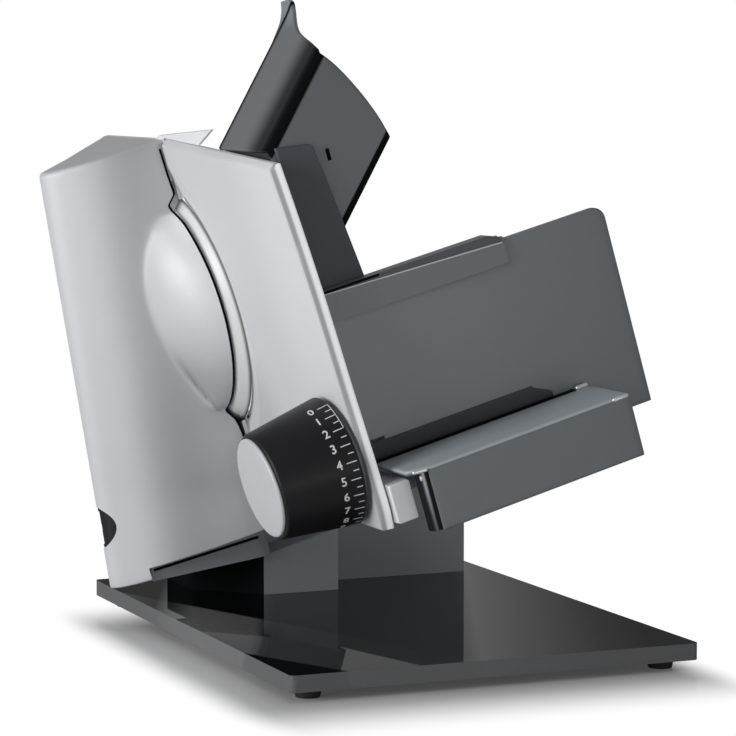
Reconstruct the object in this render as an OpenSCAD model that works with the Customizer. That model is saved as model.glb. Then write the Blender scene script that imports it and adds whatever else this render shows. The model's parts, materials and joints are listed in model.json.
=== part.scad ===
// Electric food slicer: a leaning silver head with a round blade, a thickness plate set by a
// dial knob, and a sliding food carriage, all carried by a dark glass base.
// Millimetres, +Z up, +Y away from the operator, +X towards the food side.
// Head pieces are drawn in head coordinates: n along the blade axis towards the food, y away
// from the operator, u up the leaning head, with the blade's centre as the origin.

/* [Base] */
// Width of the glass base plate
base_w = 258; // [256:1:280]
// Depth of the glass base plate
base_d = 356; // [354:1:380]
// Thickness of the glass
glass_t = 10; // [8:1:12]
// Height of the rubber feet
foot_h = 6; // [5:1:8]
// Diameter of a rubber foot at the glass
foot_d = 17; // [14:1:20]

/* [Head] */
// Lean of the head towards the slice side, in degrees
tilt = 16.2; // [14:0.2:17]
// Diameter of the blade
blade_d = 156; // [152:1:156]
// Thickness of the blade
blade_t = 1.3; // [1.2:0.1:1.6]
// Height of the housing above the blade's centre
housing_top = 112; // [110:1:116]
// Depth of the dome over the gear
dome_h = 46; // [42:1:48]

/* [Drive] */
// Module of the drive gears
gear_module = 1.5; // [1.5]
// Teeth of the blade gear
gear_teeth = 60; // [60]
// Teeth of the motor pinion
pinion_teeth = 10; // [10]
// Radius of the motor can
motor_r = 23; // [21:0.5:23]

/* [Thickness plate] */
// Thickness of the plate
gauge_t = 6; // [5:0.5:6]
// Radius of the dial end of the knob
knob_r = 39; // [37:0.5:40]
// Length of the knob barrel
knob_len = 48; // [46:1:50]

/* [Carriage] */
// Reach of the carriage wall from the blade
wall_n = 192; // [180:1:200]
// Height of the wall's top edge above the blade's centre
wall_top = 17; // [12:1:20]
// Depth of the thumb ledge in front of the wall
ledge_d = 48; // [40:1:50]

/* [Hidden] */
$fn = 48;

// Clearance between sliding flat faces, and radial play of a running shaft
slide_gap = 0.3;
running = 0.05;
eps = 0.01;
big = 400;

// Place of the blade's centre over the base's centre
blade_x = -86;
blade_y = 97;
blade_z = 202;

// Housing section: the left tip of its rounded front moves out towards the bottom
tip_y = -12;
tip_top = -78.5;
tip_bottom = -109;
housing_bottom = -152;
skirt_bottom = -144;
housing_face = -3;
housing_rear = 80;
chassis_rear = 74;
front_y = -38;

// Lower edge of the carriage wall, whose corner reaches furthest to the right
wall_bottom = -106;

// The whole part is moved sideways so that its box is centred on the origin
box_left = blade_x + tip_top * cos(tilt) - housing_top * sin(tilt);
box_right = max(base_w / 2, blade_x + wall_n * cos(tilt) - wall_bottom * sin(tilt));
shift_x = -(box_left + box_right) / 2;
blade_c = [blade_x + shift_x, blade_y, blade_z];
glass_top = foot_h + glass_t;

// Blade and dome
blade_r = blade_d / 2;
axis_y = -4;
dish_n = -9.6;
dome_r = 71;
dome_y = -5.5;
dome_u = 3;
dome_face = -8;
dome_sphere = (dome_r * dome_r + dome_h * dome_h) / (2 * dome_h);
guard_r = blade_r + 1.6;
shaft_r = 5;

// Steps of the drive behind the blade: front of the bearing plate, its rear, end of the gear case
plate_front = -12;
plate_rear = -15;
gear_case_end = -29.5;
bush_n0 = -41.5;
bush_n1 = -31.5;

// Gear pair: the motor axis lies below the blade axis
gear_pr = gear_module * gear_teeth / 2;
pinion_pr = gear_module * pinion_teeth / 2;
motor_turn = 2.2;
motor_y = axis_y - (gear_pr + pinion_pr) * sin(motor_turn);
motor_u = -(gear_pr + pinion_pr) * cos(motor_turn);
motor_n0 = -53;
motor_n1 = -27.5;
motor_shaft_r = 2.5;

// Levels under the food
floor_u = -66;
floor_t = 4;
rail_top = -90;
rail_bottom = -113;
rail_n0 = 1;
rail_n1 = 13.5;
groove_n = 8.5;
rail_screw_n = 4.3;
rail_y0 = -250;
rail_y1 = 64;
pedestal_u = -165;
tray_left_u = -154;
tray_round = 8;

// Thickness plate, its guide bar and the knob on one axis
gauge_rear = -40.5;
gauge_bottom = -116;
knob_y = -207;
knob_u = -76.5;
knob_n = -9;
knob_cap_r = 29.8;
collar_r = 30;
bar_half_y = 15;
bar_half_u = 5.5;
bar_end = -34;

// Carriage at its front stop
wall_y0 = -215;
wall_t = 4;
wall_left = 3;
ledge_top = -83;
ledge_t = 3;
apron_bottom = -121;
apron_left = 20;
ledge_left = 9;
ledge_right = 153;

// Food holder: the shield's flap lies on a plane turned halfway between n and u
flap_q = 75.6;
flap_t = 3;
panel_y = -207.2;
panel_t = 3;
flap_rear = -125;
press_n = 4;

// Way of the lead: in from behind through the chassis, across the tray and up into the housing
lead_n = 22;
lead_y = 14;
lead_u = -150;
lead_bay_n = -26;

// On/off button in the rounded left end of the housing
button_y = -9;
button_u = -112.5;
button_r = 11;

// Colours
silver = [0.78, 0.79, 0.80];
slate = [0.27, 0.29, 0.31];
steel = [0.88, 0.89, 0.90];
black = [0.08, 0.08, 0.09];
brass = [0.80, 0.65, 0.30];

// Places the head's own coordinates in the world
module in_head() translate(blade_c) rotate([0, -tilt, 0]) children();

// Turns a part drawn round +z onto the blade's axis
module on_axis() in_head() translate([0, axis_y, 0]) rotate([0, 90, 0]) children();

module box3(lo, hi) translate(lo) cube(hi - lo);

// Cylinder along n from n0 to n1
module rod_n(n0, n1, y, u, r) translate([n0, y, u]) rotate([0, 90, 0]) cylinder(h = n1 - n0, r = r);

// Tube along n
module tube_n(n0, n1, y, u, r, bore) difference() {
  rod_n(n0, n1, y, u, r);
  rod_n(n0 - 1, n1 + 1, y, u, bore);
}

// Outline in (n, u) carried along y
module prism_y(points, y0, y1)
  translate([0, y1, 0]) rotate([90, 0, 0]) linear_extrude(y1 - y0) polygon(points);

// Outline in (y, u) carried along n
module prism_n(points, n0, n1)
  translate([n0, 0, 0]) rotate([90, 0, 90]) linear_extrude(n1 - n0) polygon(points);

// Outline in (y, u) drawn by the children, carried along n
module slab_n(n0, n1) translate([n0, 0, 0]) rotate([90, 0, 90]) linear_extrude(n1 - n0) children();

// Outline in (n, u) drawn by the children, carried along y
module slab_y(y0, y1) translate([0, y1, 0]) rotate([90, 0, 0]) linear_extrude(y1 - y0) children();

module rounded_square(w, d, r) {
  square([w - 2 * r, d], center = true);
  square([w, d - 2 * r], center = true);
  for (x = [-1, 1], y = [-1, 1]) translate([x * (w / 2 - r), y * (d / 2 - r)]) circle(r);
}

// Rectangle from lo to hi with one rounded corner at its upper right
module round_corner_plate(lo, hi, r) {
  translate(lo) square([hi.x - lo.x - r, hi.y - lo.y]);
  translate(lo) square([hi.x - lo.x, hi.y - lo.y - r]);
  translate([hi.x - r, hi.y - r]) circle(r);
}

pedestal_holes = [[-35, 91], [-35, 154], [68, 127], [90, 150]];
foot_places = [for (x = [-1, 1], y = [-1, 1]) [x * (base_w / 2 - 17), y * (base_d / 2 - 17)]];

module glass_base_plate() color([0.10, 0.12, 0.13])
  translate([shift_x, 0, foot_h]) linear_extrude(glass_t) difference() {
    rounded_square(base_w, base_d, 4);
    for (p = pedestal_holes) translate(p) circle(2.8);
  }

module base_feet() color(black)
  for (p = foot_places) translate([p.x + shift_x, p.y, 0]) cylinder(h = foot_h, d1 = foot_d - 3, d2 = foot_d);

// Stepped foot of the machine, cut off along the head's lean
module pedestal() color(slate) difference() {
  intersection() {
    translate([shift_x, 0, glass_top]) linear_extrude(90)
      polygon([[-47, 79], [4.5, 79], [4.5, 115], [110.5, 115], [110.5, 165], [-83, 165], [-83, 116]]);
    in_head() prism_y([[-84, tray_left_u - 0.2], [-2.5, pedestal_u], [big, pedestal_u],
                       [big, -big], [-84, -big]], -big, big);
  }
  for (p = pedestal_holes) translate([p.x + shift_x, p.y, glass_top - 1]) cylinder(h = 15, r = 2.5);
}

module pedestal_screws() color(steel) for (p = pedestal_holes) translate([p.x + shift_x, p.y, 0]) {
  translate([0, 0, foot_h - 2.5]) cylinder(h = 2.5, r = 4.5);
  translate([0, 0, foot_h - eps]) cylinder(h = glass_t + 13, r = 2.45);
}

// Casting on the pedestal that carries the rail, with the lead's way in from behind
module chassis() color(slate) in_head() difference() {
  box3([-2.5, 5, pedestal_u], [62, chassis_rear, rail_bottom]);
  translate([lead_n, chassis_rear + 1, lead_u]) rotate([90, 0, 0]) cylinder(h = 21, r = 6);
  translate([lead_n, chassis_rear - 19, lead_u]) rotate([90, 0, 0])
    cylinder(h = chassis_rear - 19 - lead_y, r = 4);
  rod_n(-3, lead_n, lead_y, lead_u, 4);
  for (y = rail_screw_y) translate([rail_screw_n, y, rail_bottom - 14]) cylinder(h = 15, r = 1.7);
}

// Dark tray under the housing, thinner towards its left end
module chassis_tray() color(slate) in_head() difference() {
  intersection() {
    prism_y([[-84, skirt_bottom], [-84, tray_left_u], [-2.5, pedestal_u + 0.2], [-2.5, skirt_bottom]], -25, 66);
    translate([0, 0, -200]) linear_extrude(100) polygon(concat(
      [[-2.5, 66], [-84, -4], [-84, -25]],
      [for (a = [0 : 15 : 90]) [-2.5 - tray_round * (1 - sin(a)), -25 + tray_round * (1 - cos(a))]]));
  }
  rod_n(lead_bay_n, -2, lead_y, lead_u, 4);
  translate([lead_bay_n, lead_y, lead_u]) cylinder(h = 10, r = 4);
}

// Housing section at a height where its left tip is at n = tip: flat by the blade, then a
// quarter ellipse round to the tip, then the straight oblique rear
function housing_section(tip, steps = 16) = concat(
  [[housing_face, front_y + 1], [-20, front_y]],
  [for (i = [1 : steps])
    [-20 + (tip + 20) * sin(90 * i / steps), tip_y + (front_y - tip_y) * cos(90 * i / steps)]],
  [[housing_face, housing_rear]]);

module housing_prism() hull() {
  translate([0, 0, housing_top - eps]) linear_extrude(eps) polygon(housing_section(tip_top));
  translate([0, 0, housing_bottom]) linear_extrude(eps) polygon(housing_section(tip_bottom));
}

// Outline of the plate that closes the gear case and motor bay, in (y, u)
module bearing_outline(gap) {
  translate([axis_y, 0]) circle(r = 61.8 + gap, $fn = 96);
  translate([-32 - gap, -134 - gap]) square([66 + 2 * gap, 90 + 2 * gap]);
}

// Room for the turning blade, a little behind its rear face everywhere
module blade_pocket() translate([0, axis_y, 0]) rotate([0, 90, 0]) rotate_extrude($fn = 128)
  polygon([[0, 2], [0, dish_n - 2], [blade_r - 15, dish_n - 2], [blade_r - 7.6, -9.5], [blade_r - 4.1, -7.2],
           [blade_r + 0.6, -0.8], [guard_r, 0.5], [guard_r, 2]]);

// Wider notch in the housing's front corner, where the blade's rim comes out
module front_notch() intersection() {
  translate([-11.5, axis_y, 1]) rotate([0, 90, 0]) cylinder(h = 13, r1 = 77.8, r2 = 86.5, $fn = 96);
  box3([-30, -90, -100], [5, -20, 100]);
}

// Silver casting: loft with the gear dome on its front, and bays for the drive and the switch
module motor_housing() color(silver) in_head() difference() {
  union() {
    difference() {
      housing_prism();
      front_notch();
    }
    intersection() {
      translate([dome_face - dome_h + dome_sphere, dome_y, dome_u]) sphere(dome_sphere, $fn = 96);
      box3([-80, -100, -100], [-5, 5, 100]);
    }
  }
  box3([-86, -60, housing_bottom - 1], [1, 90, skirt_bottom]);
  blade_pocket();
  slab_n(plate_rear, 1) bearing_outline(0.2);
  rod_n(gear_case_end, plate_rear + 1, axis_y, 0, gear_pr + 5);
  rod_n(motor_n0 - 4, plate_rear + 1, motor_y, motor_u, motor_r + 1);
  rod_n(bush_n0 - 2, gear_case_end + 1, axis_y, 0, 9);
  box3([-60, -24, -130], [plate_rear + 1, 22, -86]);
  box3([-83, button_y - 11, button_u - 12], [-59, button_y + 11, button_u + 12]);
  rod_n(-125, -95, button_y, button_u, 15);
  rod_n(-96, -82, button_y, button_u, button_r + slide_gap);
  translate([lead_bay_n, lead_y, lead_u]) cylinder(h = 22, r = 4);
  for (p = bearing_screw_places) rod_n(plate_rear - 6.5, plate_rear + 1, p.x, p.y, 1.7);
  for (p = guard_screw_places) rod_n(-15, 0, p.x, p.y, 1.7);
}

bearing_screw_places = [[-28, -126], [28, -126], [-47, 32], [39, 32]];
standoff_places = [for (a = [-150, -90, -30]) [motor_y + 19 * cos(a), motor_u + 19 * sin(a)]];

module bearing_plate() color([0.62, 0.63, 0.65]) in_head() difference() {
  slab_n(plate_rear, plate_front) bearing_outline(0);
  rod_n(plate_rear - 1, plate_front + 1, axis_y, 0, 8);
  for (p = bearing_screw_places) rod_n(plate_rear - 1, plate_front + 1, p.x, p.y, 2);
  for (p = standoff_places) rod_n(plate_rear - 1, plate_front + 1, p.x, p.y, 1.5);
}

module bearing_plate_screws() color(steel) in_head() for (p = bearing_screw_places) {
  rod_n(plate_front, plate_front + 1.8, p.x, p.y, 3.5);
  rod_n(plate_rear - 5.5, plate_front + eps, p.x, p.y, 1.65);
}

// Food-side cover round the blade, with a beak over the thickness plate's rear corner
module blade_guard() color(silver) in_head() difference() {
  prism_n([[-36.5, skirt_bottom], [-36.5, 110], [-38.5, 112.7], [-99, 109.4], [-130, 119.5], [-30, 114.2],
           [-22, housing_top], [housing_rear, housing_top], [housing_rear, rail_bottom + 0.5],
           [4.5, rail_bottom + 0.5], [4.5, skirt_bottom]], housing_face, -0.4);
  rod_n(-10, 5, axis_y, 0, guard_r);
  for (p = guard_screw_places) rod_n(-10, 5, p.x, p.y, 3.6);
}

guard_screw_places = [[-24, 100], [62, 98], [62, -98]];

// Countersunk screws that hold the cover, flush with it, each with a cross recess
module guard_screws() color(steel) in_head() for (p = guard_screw_places) difference() {
  union() {
    rod_n(housing_face, -0.5, p.x, p.y, 3.5);
    rod_n(-14, housing_face + eps, p.x, p.y, 1.65);
  }
  for (a = [0, 90]) translate([-0.9, p.x, p.y]) rotate([a, 0, 0]) cube([1, 4, 0.9], center = true);
}

module front_bush() color(brass) in_head()
  tube_n(plate_rear - 1.5, plate_front - 0.1, axis_y, 0, 8, shaft_r + running);

module rear_bush() color(brass) in_head() tube_n(bush_n0, bush_n1, axis_y, 0, 9, shaft_r + running);

module motor_can() color([0.55, 0.56, 0.58]) in_head() difference() {
  rod_n(motor_n0, motor_n1, motor_y, motor_u, motor_r);
  rod_n(motor_n0 + 2, motor_n1 - 2, motor_y, motor_u, motor_r - 2);
  rod_n(motor_n0 - 1, motor_n1 + 1, motor_y, motor_u, 6);
}

module ring_magnet() color([0.2, 0.2, 0.22]) in_head()
  tube_n(motor_n0 + 6, motor_n1 - 4, motor_y, motor_u, motor_r - 2, 17.5);

module motor_bushes() color(brass) in_head() {
  tube_n(motor_n1 - 4.5, motor_n1 + 0.5, motor_y, motor_u, 6, motor_shaft_r + running);
  tube_n(motor_n0 - 2, motor_n0 + 3, motor_y, motor_u, 6, motor_shaft_r + running);
}

module motor_standoffs() color(steel) in_head()
  for (p = standoff_places) rod_n(motor_n1, plate_rear, p.x, p.y, 3);

module switch_body() color(black) in_head() difference() {
  box3([-82.5, button_y - 10, button_u - 10], [-61, button_y + 10, button_u + 10]);
  box3([-63, button_y - 20, button_u - 2.5], [-60, button_y + 20, button_u + 2.5]);
}

module suppression_capacitor() color([0.85, 0.75, 0.2]) in_head()
  box3([-45, -24, -129], [-24, -12, -104]);

module terminal_block() color([0.85, 0.85, 0.82]) in_head() difference() {
  box3([-50, 0, -112], [-20, 14, -100]);
  for (i = [0 : 2]) translate([-45 + 10 * i, 7, -104]) cylinder(h = 5, r = 2);
}

// Grommet for the lead, in the back of the chassis
module cord_inlet() color(black) in_head()
  translate([lead_n, chassis_rear, lead_u]) rotate([90, 0, 0]) difference() {
    union() {
      cylinder(h = 20, r = 5.95);
      translate([0, 0, -1]) cylinder(h = 1, r = 9);
    }
    translate([0, 0, -2]) cylinder(h = 30, r = 3.5);
  }

// Rail with a groove in its food side, where the carriage shoe runs
rail_screw_y = [18, 56];
module carriage_rail() color(silver) in_head() difference() {
  box3([rail_n0, rail_y0, rail_bottom], [rail_n1, rail_y1, rail_top]);
  box3([groove_n, rail_y0 - 1, -104], [rail_n1 + 1, rail_y1 + 1, -98]);
  for (y = rail_screw_y) translate([rail_screw_n, y, 0]) {
    translate([0, 0, rail_bottom - 1]) cylinder(h = 30, r = 1.7);
    translate([0, 0, rail_top - 2.5]) cylinder(h = 5, r = 3);
  }
}

module rail_end_cap() color(silver) in_head()
  box3([rail_n0, rail_y0 - 3, rail_bottom], [rail_n1, rail_y0, rail_top]);

module rail_screws() color(steel) in_head() for (y = rail_screw_y) translate([rail_screw_n, y, 0]) {
  translate([0, 0, rail_top - 2.5]) cylinder(h = 2.3, r = 2.95);
  translate([0, 0, rail_bottom - 12]) cylinder(h = 33, r = 1.65);
}

// Upright on the rail that holds the guide bar
module gauge_bracket() color(silver) in_head()
  box3([rail_n0, knob_y - 19, rail_top], [rail_n0 + 5.5, knob_y + 19, knob_u + bar_half_u]);

// Flat bar on which the thickness plate slides; its end carries the knob's nut
module gauge_guide_bar() color(steel) in_head() difference() {
  box3([bar_end, knob_y - bar_half_y, knob_u - bar_half_u],
       [rail_n0, knob_y + bar_half_y, knob_u + bar_half_u]);
  rod_n(bar_end - 1, -19.8, knob_y, knob_u, 4.5);
  rod_n(-20, -3, knob_y, knob_u, 3.6);
}

module spindle_nut() color(brass) in_head() tube_n(bar_end, -20, knob_y, knob_u, 4.5, 3 + running);

// Round blade: its dished middle seats on the shaft's flange, a steep rim runs out to the edge
module blade() color(steel) on_axis() difference() {
  rotate_extrude($fn = 128) polygon([[4, dish_n], [blade_r - 14.5, dish_n], [blade_r - 8, -8.7],
    [blade_r - 4.8, -6.6], [blade_r - 0.1, -0.4], [blade_r, 0], [blade_r - 1.2 * blade_t, 0],
    [blade_r - 4.8 - 0.8 * blade_t, 0.7 * blade_t - 6.6], [blade_r - 8 - 0.4 * blade_t, 0.9 * blade_t - 8.7],
    [blade_r - 14.5, dish_n + blade_t], [4, dish_n + blade_t]]);
  for (a = pin_turns) rotate(a) translate([14, 0, dish_n - 1]) cylinder(h = 5, r = 1.5);
}

pin_turns = [60, 180, 300];

module blade_shaft() color([0.6, 0.61, 0.63]) on_axis() difference() {
  union() {
    translate([0, 0, bush_n0 - 1.5]) cylinder(h = dish_n - bush_n0 + 1.5, r = shaft_r);
    translate([0, 0, dish_n - 1.6]) cylinder(h = 1.6, r = 18);
    for (a = pin_turns) rotate(a) translate([14, 0, dish_n - 1]) cylinder(h = 3, r = 1.4);
  }
  translate([0, 0, dish_n - 16]) cylinder(h = 20, r = 2.6);
}

// Tooth outline with straight-sided mesh clearance: four points a tooth on three radii
module spur_outline(teeth, pitch_r, tip_part, root_part) {
  root_r = pitch_r - 1.3 * gear_module;
  tip_r = pitch_r + 0.85 * gear_module;
  step = 360 / teeth;
  polygon([for (i = [0 : teeth - 1], k = [[-0.5 + 0.5 * (1 - root_part), root_r], [-tip_part / 2, tip_r],
    [tip_part / 2, tip_r], [0.5 - 0.5 * (1 - root_part), root_r]])
    [k[1] * cos(step * (i + k[0])), k[1] * sin(step * (i + k[0]))]]);
}

// The gear's tooth and the pinion's gap face each other on the line between the axes
gear_n0 = -25.5;
gear_n1 = -18;
module blade_gear() color([0.92, 0.90, 0.84]) in_head() difference() {
  union() {
    translate([0, axis_y, 0]) slab_n(gear_n0, gear_n1)
      rotate(270 - motor_turn) spur_outline(gear_teeth, gear_pr, 0.20, 0.62);
    rod_n(gear_n0 - 3.5, gear_n0, axis_y, 0, 12);
  }
  rod_n(gear_n0 - 5, gear_n1 + 1, axis_y, 0, shaft_r + running / 2);
  for (a = [0 : 60 : 300]) rod_n(gear_n0 - 5, gear_n1 + 1, axis_y + 26 * cos(a), 26 * sin(a), 8);
}

module blade_lock_screw() color([0.5, 0.51, 0.53]) on_axis() difference() {
  union() {
    translate([0, 0, dish_n + blade_t]) cylinder(h = 2, r = 11);
    translate([0, 0, dish_n - 11]) cylinder(h = 11 + blade_t + eps, r = 2.55);
  }
  translate([-1, -8, dish_n + blade_t + 1]) cube([2, 16, 3]);
}

module motor_shaft() color([0.6, 0.61, 0.63]) in_head()
  rod_n(motor_n0 - 3.5, gear_n1 + 1, motor_y, motor_u, motor_shaft_r);

module motor_pinion() color(brass) in_head() difference() {
  translate([0, motor_y, motor_u]) slab_n(gear_n0 - 0.5, gear_n1 + 0.5)
    rotate(90 - motor_turn + 180 / pinion_teeth) spur_outline(pinion_teeth, pinion_pr, 0.22, 0.56);
  rod_n(gear_n0 - 2, gear_n1 + 2, motor_y, motor_u, motor_shaft_r);
}

// Laminated core with open slots for its windings
core_n0 = motor_n0 + 7;
core_n1 = motor_n1 - 6;
module armature() color([0.45, 0.3, 0.2]) in_head() difference() {
  rod_n(core_n0, core_n1, motor_y, motor_u, 16.8);
  rod_n(core_n0 - 1, core_n1 + 1, motor_y, motor_u, motor_shaft_r);
  for (a = [0 : 45 : 315]) translate([0, motor_y, motor_u]) rotate([a, 0, 0])
    box3([core_n0 - 1, 9, -1.2], [core_n1 + 1, 20, 1.2]);
}

module commutator() color([0.75, 0.45, 0.25]) in_head()
  tube_n(motor_n0 + 3.5, motor_n0 + 6.5, motor_y, motor_u, 8, motor_shaft_r);

// Front edge of the thickness plate, slightly bowed
gauge_front = [[-238, 101], [-243, 71], [-250, 24], [-255, -34], [-258.5, -86], [-254, gauge_bottom]];

// Plate with a round clearance for the blade, thinned towards it by a shallow cone, and a
// round pocket for the dial
module gauge_plate() color(silver) in_head() {
  difference() {
    prism_n(concat([[gauge_rear, housing_top]], gauge_front, [[gauge_rear, gauge_bottom]]), -gauge_t, 0);
    rod_n(-20, 5, axis_y, 0, blade_r + 1.5);
    translate([-gauge_t - 1, axis_y, 0]) rotate([0, 90, 0])
      cylinder(h = gauge_t + 0.2, r1 = blade_r + 28.4, r2 = blade_r + 1.5, $fn = 128);
    rod_n(-20, 1.5 - gauge_t, knob_y, knob_u, knob_r + 3);
    box3([-20, knob_y - bar_half_y - 2, knob_u - bar_half_u - 2],
         [5, knob_y + bar_half_y + 2, knob_u + bar_half_u + 2]);
  }
  tube_n(-16, 1.6 - gauge_t, knob_y, knob_u, collar_r, collar_r - 4);
}

// Plastic sleeve of the plate's slot, running on the guide bar
module gauge_slide_bush() color([0.9, 0.9, 0.86]) in_head() difference() {
  box3([-gauge_t - 4, knob_y - bar_half_y - 2, knob_u - bar_half_u - 2],
       [-0.5, knob_y + bar_half_y + 2, knob_u + bar_half_u + 2]);
  box3([-20, knob_y - bar_half_y - running, knob_u - bar_half_u - running],
       [5, knob_y + bar_half_y + running, knob_u + bar_half_u + running]);
}

// Knob: hollow barrel that narrows from the dial end to the cap
module knob_barrel() color(black) in_head() translate([0, knob_y, knob_u]) rotate([0, 90, 0])
  rotate_extrude($fn = 128) polygon([[3, knob_n - knob_len], [knob_cap_r + 1.6, knob_n - knob_len],
    [knob_cap_r + 2.4, knob_n - knob_len + 1], [knob_r, knob_n - 0.8], [knob_r - 0.8, knob_n],
    [collar_r + running, knob_n], [collar_r + running, knob_n - 20], [knob_cap_r - 2, knob_n - knob_len + 5],
    [3, knob_n - knob_len + 5]]);

module knob_cap() color([0.80, 0.81, 0.82]) in_head() translate([0, knob_y, knob_u]) rotate([0, 90, 0])
  rotate_extrude($fn = 128) polygon([[0, knob_n - knob_len], [knob_cap_r, knob_n - knob_len],
    [knob_cap_r, knob_n - knob_len - 1.6], [knob_cap_r - 1, knob_n - knob_len - 2.4],
    [0, knob_n - knob_len - 2.8]]);

module knob_spindle() color(steel) in_head() rod_n(knob_n - knob_len, -10, knob_y, knob_u, 3);

// Wall that pushes the food, notched under the floor to clear the rail
module carriage_wall() color(slate) in_head() slab_y(wall_y0, wall_y0 + wall_t) {
  translate([wall_left, floor_u - floor_t]) square([60, wall_top - floor_u + floor_t]);
  round_corner_plate([apron_left, wall_bottom], [wall_n, wall_top], 8);
}

module carriage_floor() color(slate) in_head() difference() {
  box3([wall_left, wall_y0 + wall_t, floor_u - floor_t], [wall_n - 2, -60, floor_u]);
  for (y = [-195, -155]) translate([19, y, floor_u - 8]) cylinder(h = 10, r = 2);
}

// Thumb ledge: flat shelf, round front corner and hanging apron in one bent sheet
ledge_bend = 7;
module carriage_ledge() color(slate) in_head() {
  front = wall_y0 - ledge_d;
  slab_n(apron_left, ledge_right) {
    translate([front, ledge_top - ledge_t]) square([ledge_d, ledge_t]);
    translate([front - ledge_bend, apron_bottom]) square([ledge_t, ledge_top - ledge_bend - apron_bottom]);
    translate([front, ledge_top - ledge_bend]) intersection() {
      difference() {
        circle(ledge_bend);
        circle(ledge_bend - ledge_t);
      }
      translate([-ledge_bend, 0]) square(ledge_bend);
    }
  }
  box3([ledge_left, front + 4, ledge_top - ledge_t], [apron_left + eps, wall_y0, ledge_top]);
}

// Runner under the floor: it rests on the rail and its tongue sits in the rail's groove
module carriage_shoe() color([0.86, 0.86, 0.83]) in_head() difference() {
  union() {
    box3([ledge_left, -205, rail_top + running], [24, -145, floor_u - floor_t]);
    box3([rail_n1 + slide_gap, -205, -110], [24, -145, rail_top + 1]);
    box3([groove_n + 0.5, -205, -103.7], [20, -145, -98.3]);
  }
  for (y = [-195, -155]) translate([19, y, -100]) cylinder(h = 40, r = 1.6);
}

module carriage_screws() color(steel) in_head() for (y = [-195, -155]) translate([19, y, 0]) {
  translate([0, 0, floor_u - 1.8]) cylinder(h = 1.7, r1 = 1.6, r2 = 1.95);
  translate([0, 0, floor_u - 14]) cylinder(h = 12.5, r = 1.55);
}

// Saddle over the wall's top edge: short front leaf, roof and long rear leaf
saddle_left = 12;
saddle_right = 126;
saddle_front = wall_y0 - slide_gap - 2.4;
saddle_back = wall_y0 + wall_t + slide_gap;
module holder_saddle() color(slate) in_head() {
  box3([saddle_left, saddle_front, 3], [saddle_right - 3, saddle_front + 2.4, wall_top + 2]);
  prism_y([[saddle_left, wall_top + slide_gap], [saddle_right, wall_top + slide_gap],
           [saddle_right - 12, wall_top + 5], [saddle_left, wall_top + 5]], saddle_front, saddle_back + 3);
  box3([saddle_left, saddle_back, -20], [saddle_right - 3, saddle_back + 3, wall_top + 2]);
}

// Upright strap on the saddle's rear leaf that carries the shield
module holder_strap() color(slate) in_head()
  prism_y([[press_n, wall_top + 5], [36, wall_top + 5], [29.5, 80], [26, 104], [press_n, 108]],
          saddle_back, panel_y);

// Direction along the flap's 45 degree slope, and square to it
function flap_point(q, r) = [(r - q) / sqrt(2), (r + q) / sqrt(2)];

// Shield: a flat panel facing the operator, bent along a sloping edge into a flap that runs
// back over the food and ends in a horn
flap_edge = [[-207.2, 81], [-207.2, 141.5], [-183, 148.5], [-167, 152], [-153, 156.5], [-141, 163],
             [-131, 170.5], [-124.5, 175.5], [-107, 175.5], [-116, 166], [-122, 156], [flap_rear, 145],
             [flap_rear, 81]];
panel_curve = [[46, 152.8], [54.7, 142], [61.6, 130.5], [67.1, 118.2], [72, 106], [75.6, 93.6]];
module holder_shield() color(slate) in_head() {
  prism_y(concat([[press_n, 28], [10, 28]], [for (i = [5 : -1 : 0]) panel_curve[i]],
          [flap_point(flap_q, 141), [press_n, press_n + flap_q * sqrt(2)]]), panel_y, panel_y + panel_t);
  intersection() {
    rotate([0, -45, 0]) translate([0, 0, flap_q - flap_t]) linear_extrude(flap_t)
      polygon([for (p = flap_edge) [p[1], p[0]]]);
    box3([press_n, -big, -big], [big, big, big]);
  }
}

// Plate that presses the food to the blade, with short grips on its face
module press_plate() color(slate) in_head() {
  prism_y([[press_n, -60], [press_n + 3, -60], [press_n + 3, 109.4], [press_n, 106.4]],
          panel_y + panel_t, flap_rear);
  for (i = [0 : 3], j = [0 : 3]) translate([press_n, -195 + 19 * i, -48 + 24 * j]) rotate([0, -90, 0])
    cylinder(h = 2, r1 = 1.6, r2 = 0.5);
}

module switch_button() color(black) in_head() rod_n(-99, -86, button_y, button_u, button_r);

glass_base_plate();
base_feet();
pedestal();
pedestal_screws();
chassis();
chassis_tray();
motor_housing();
bearing_plate();
bearing_plate_screws();
blade_guard();
guard_screws();
front_bush();
rear_bush();
motor_can();
ring_magnet();
motor_bushes();
motor_standoffs();
switch_body();
suppression_capacitor();
terminal_block();
cord_inlet();
carriage_rail();
rail_end_cap();
rail_screws();
gauge_bracket();
gauge_guide_bar();
spindle_nut();
blade();
blade_shaft();
blade_gear();
blade_lock_screw();
motor_shaft();
motor_pinion();
armature();
commutator();
gauge_plate();
gauge_slide_bush();
knob_barrel();
knob_cap();
knob_spindle();
carriage_wall();
carriage_floor();
carriage_ledge();
carriage_shoe();
carriage_screws();
holder_saddle();
holder_strap();
holder_shield();
press_plate();
switch_button();
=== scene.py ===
import json
import math

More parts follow.
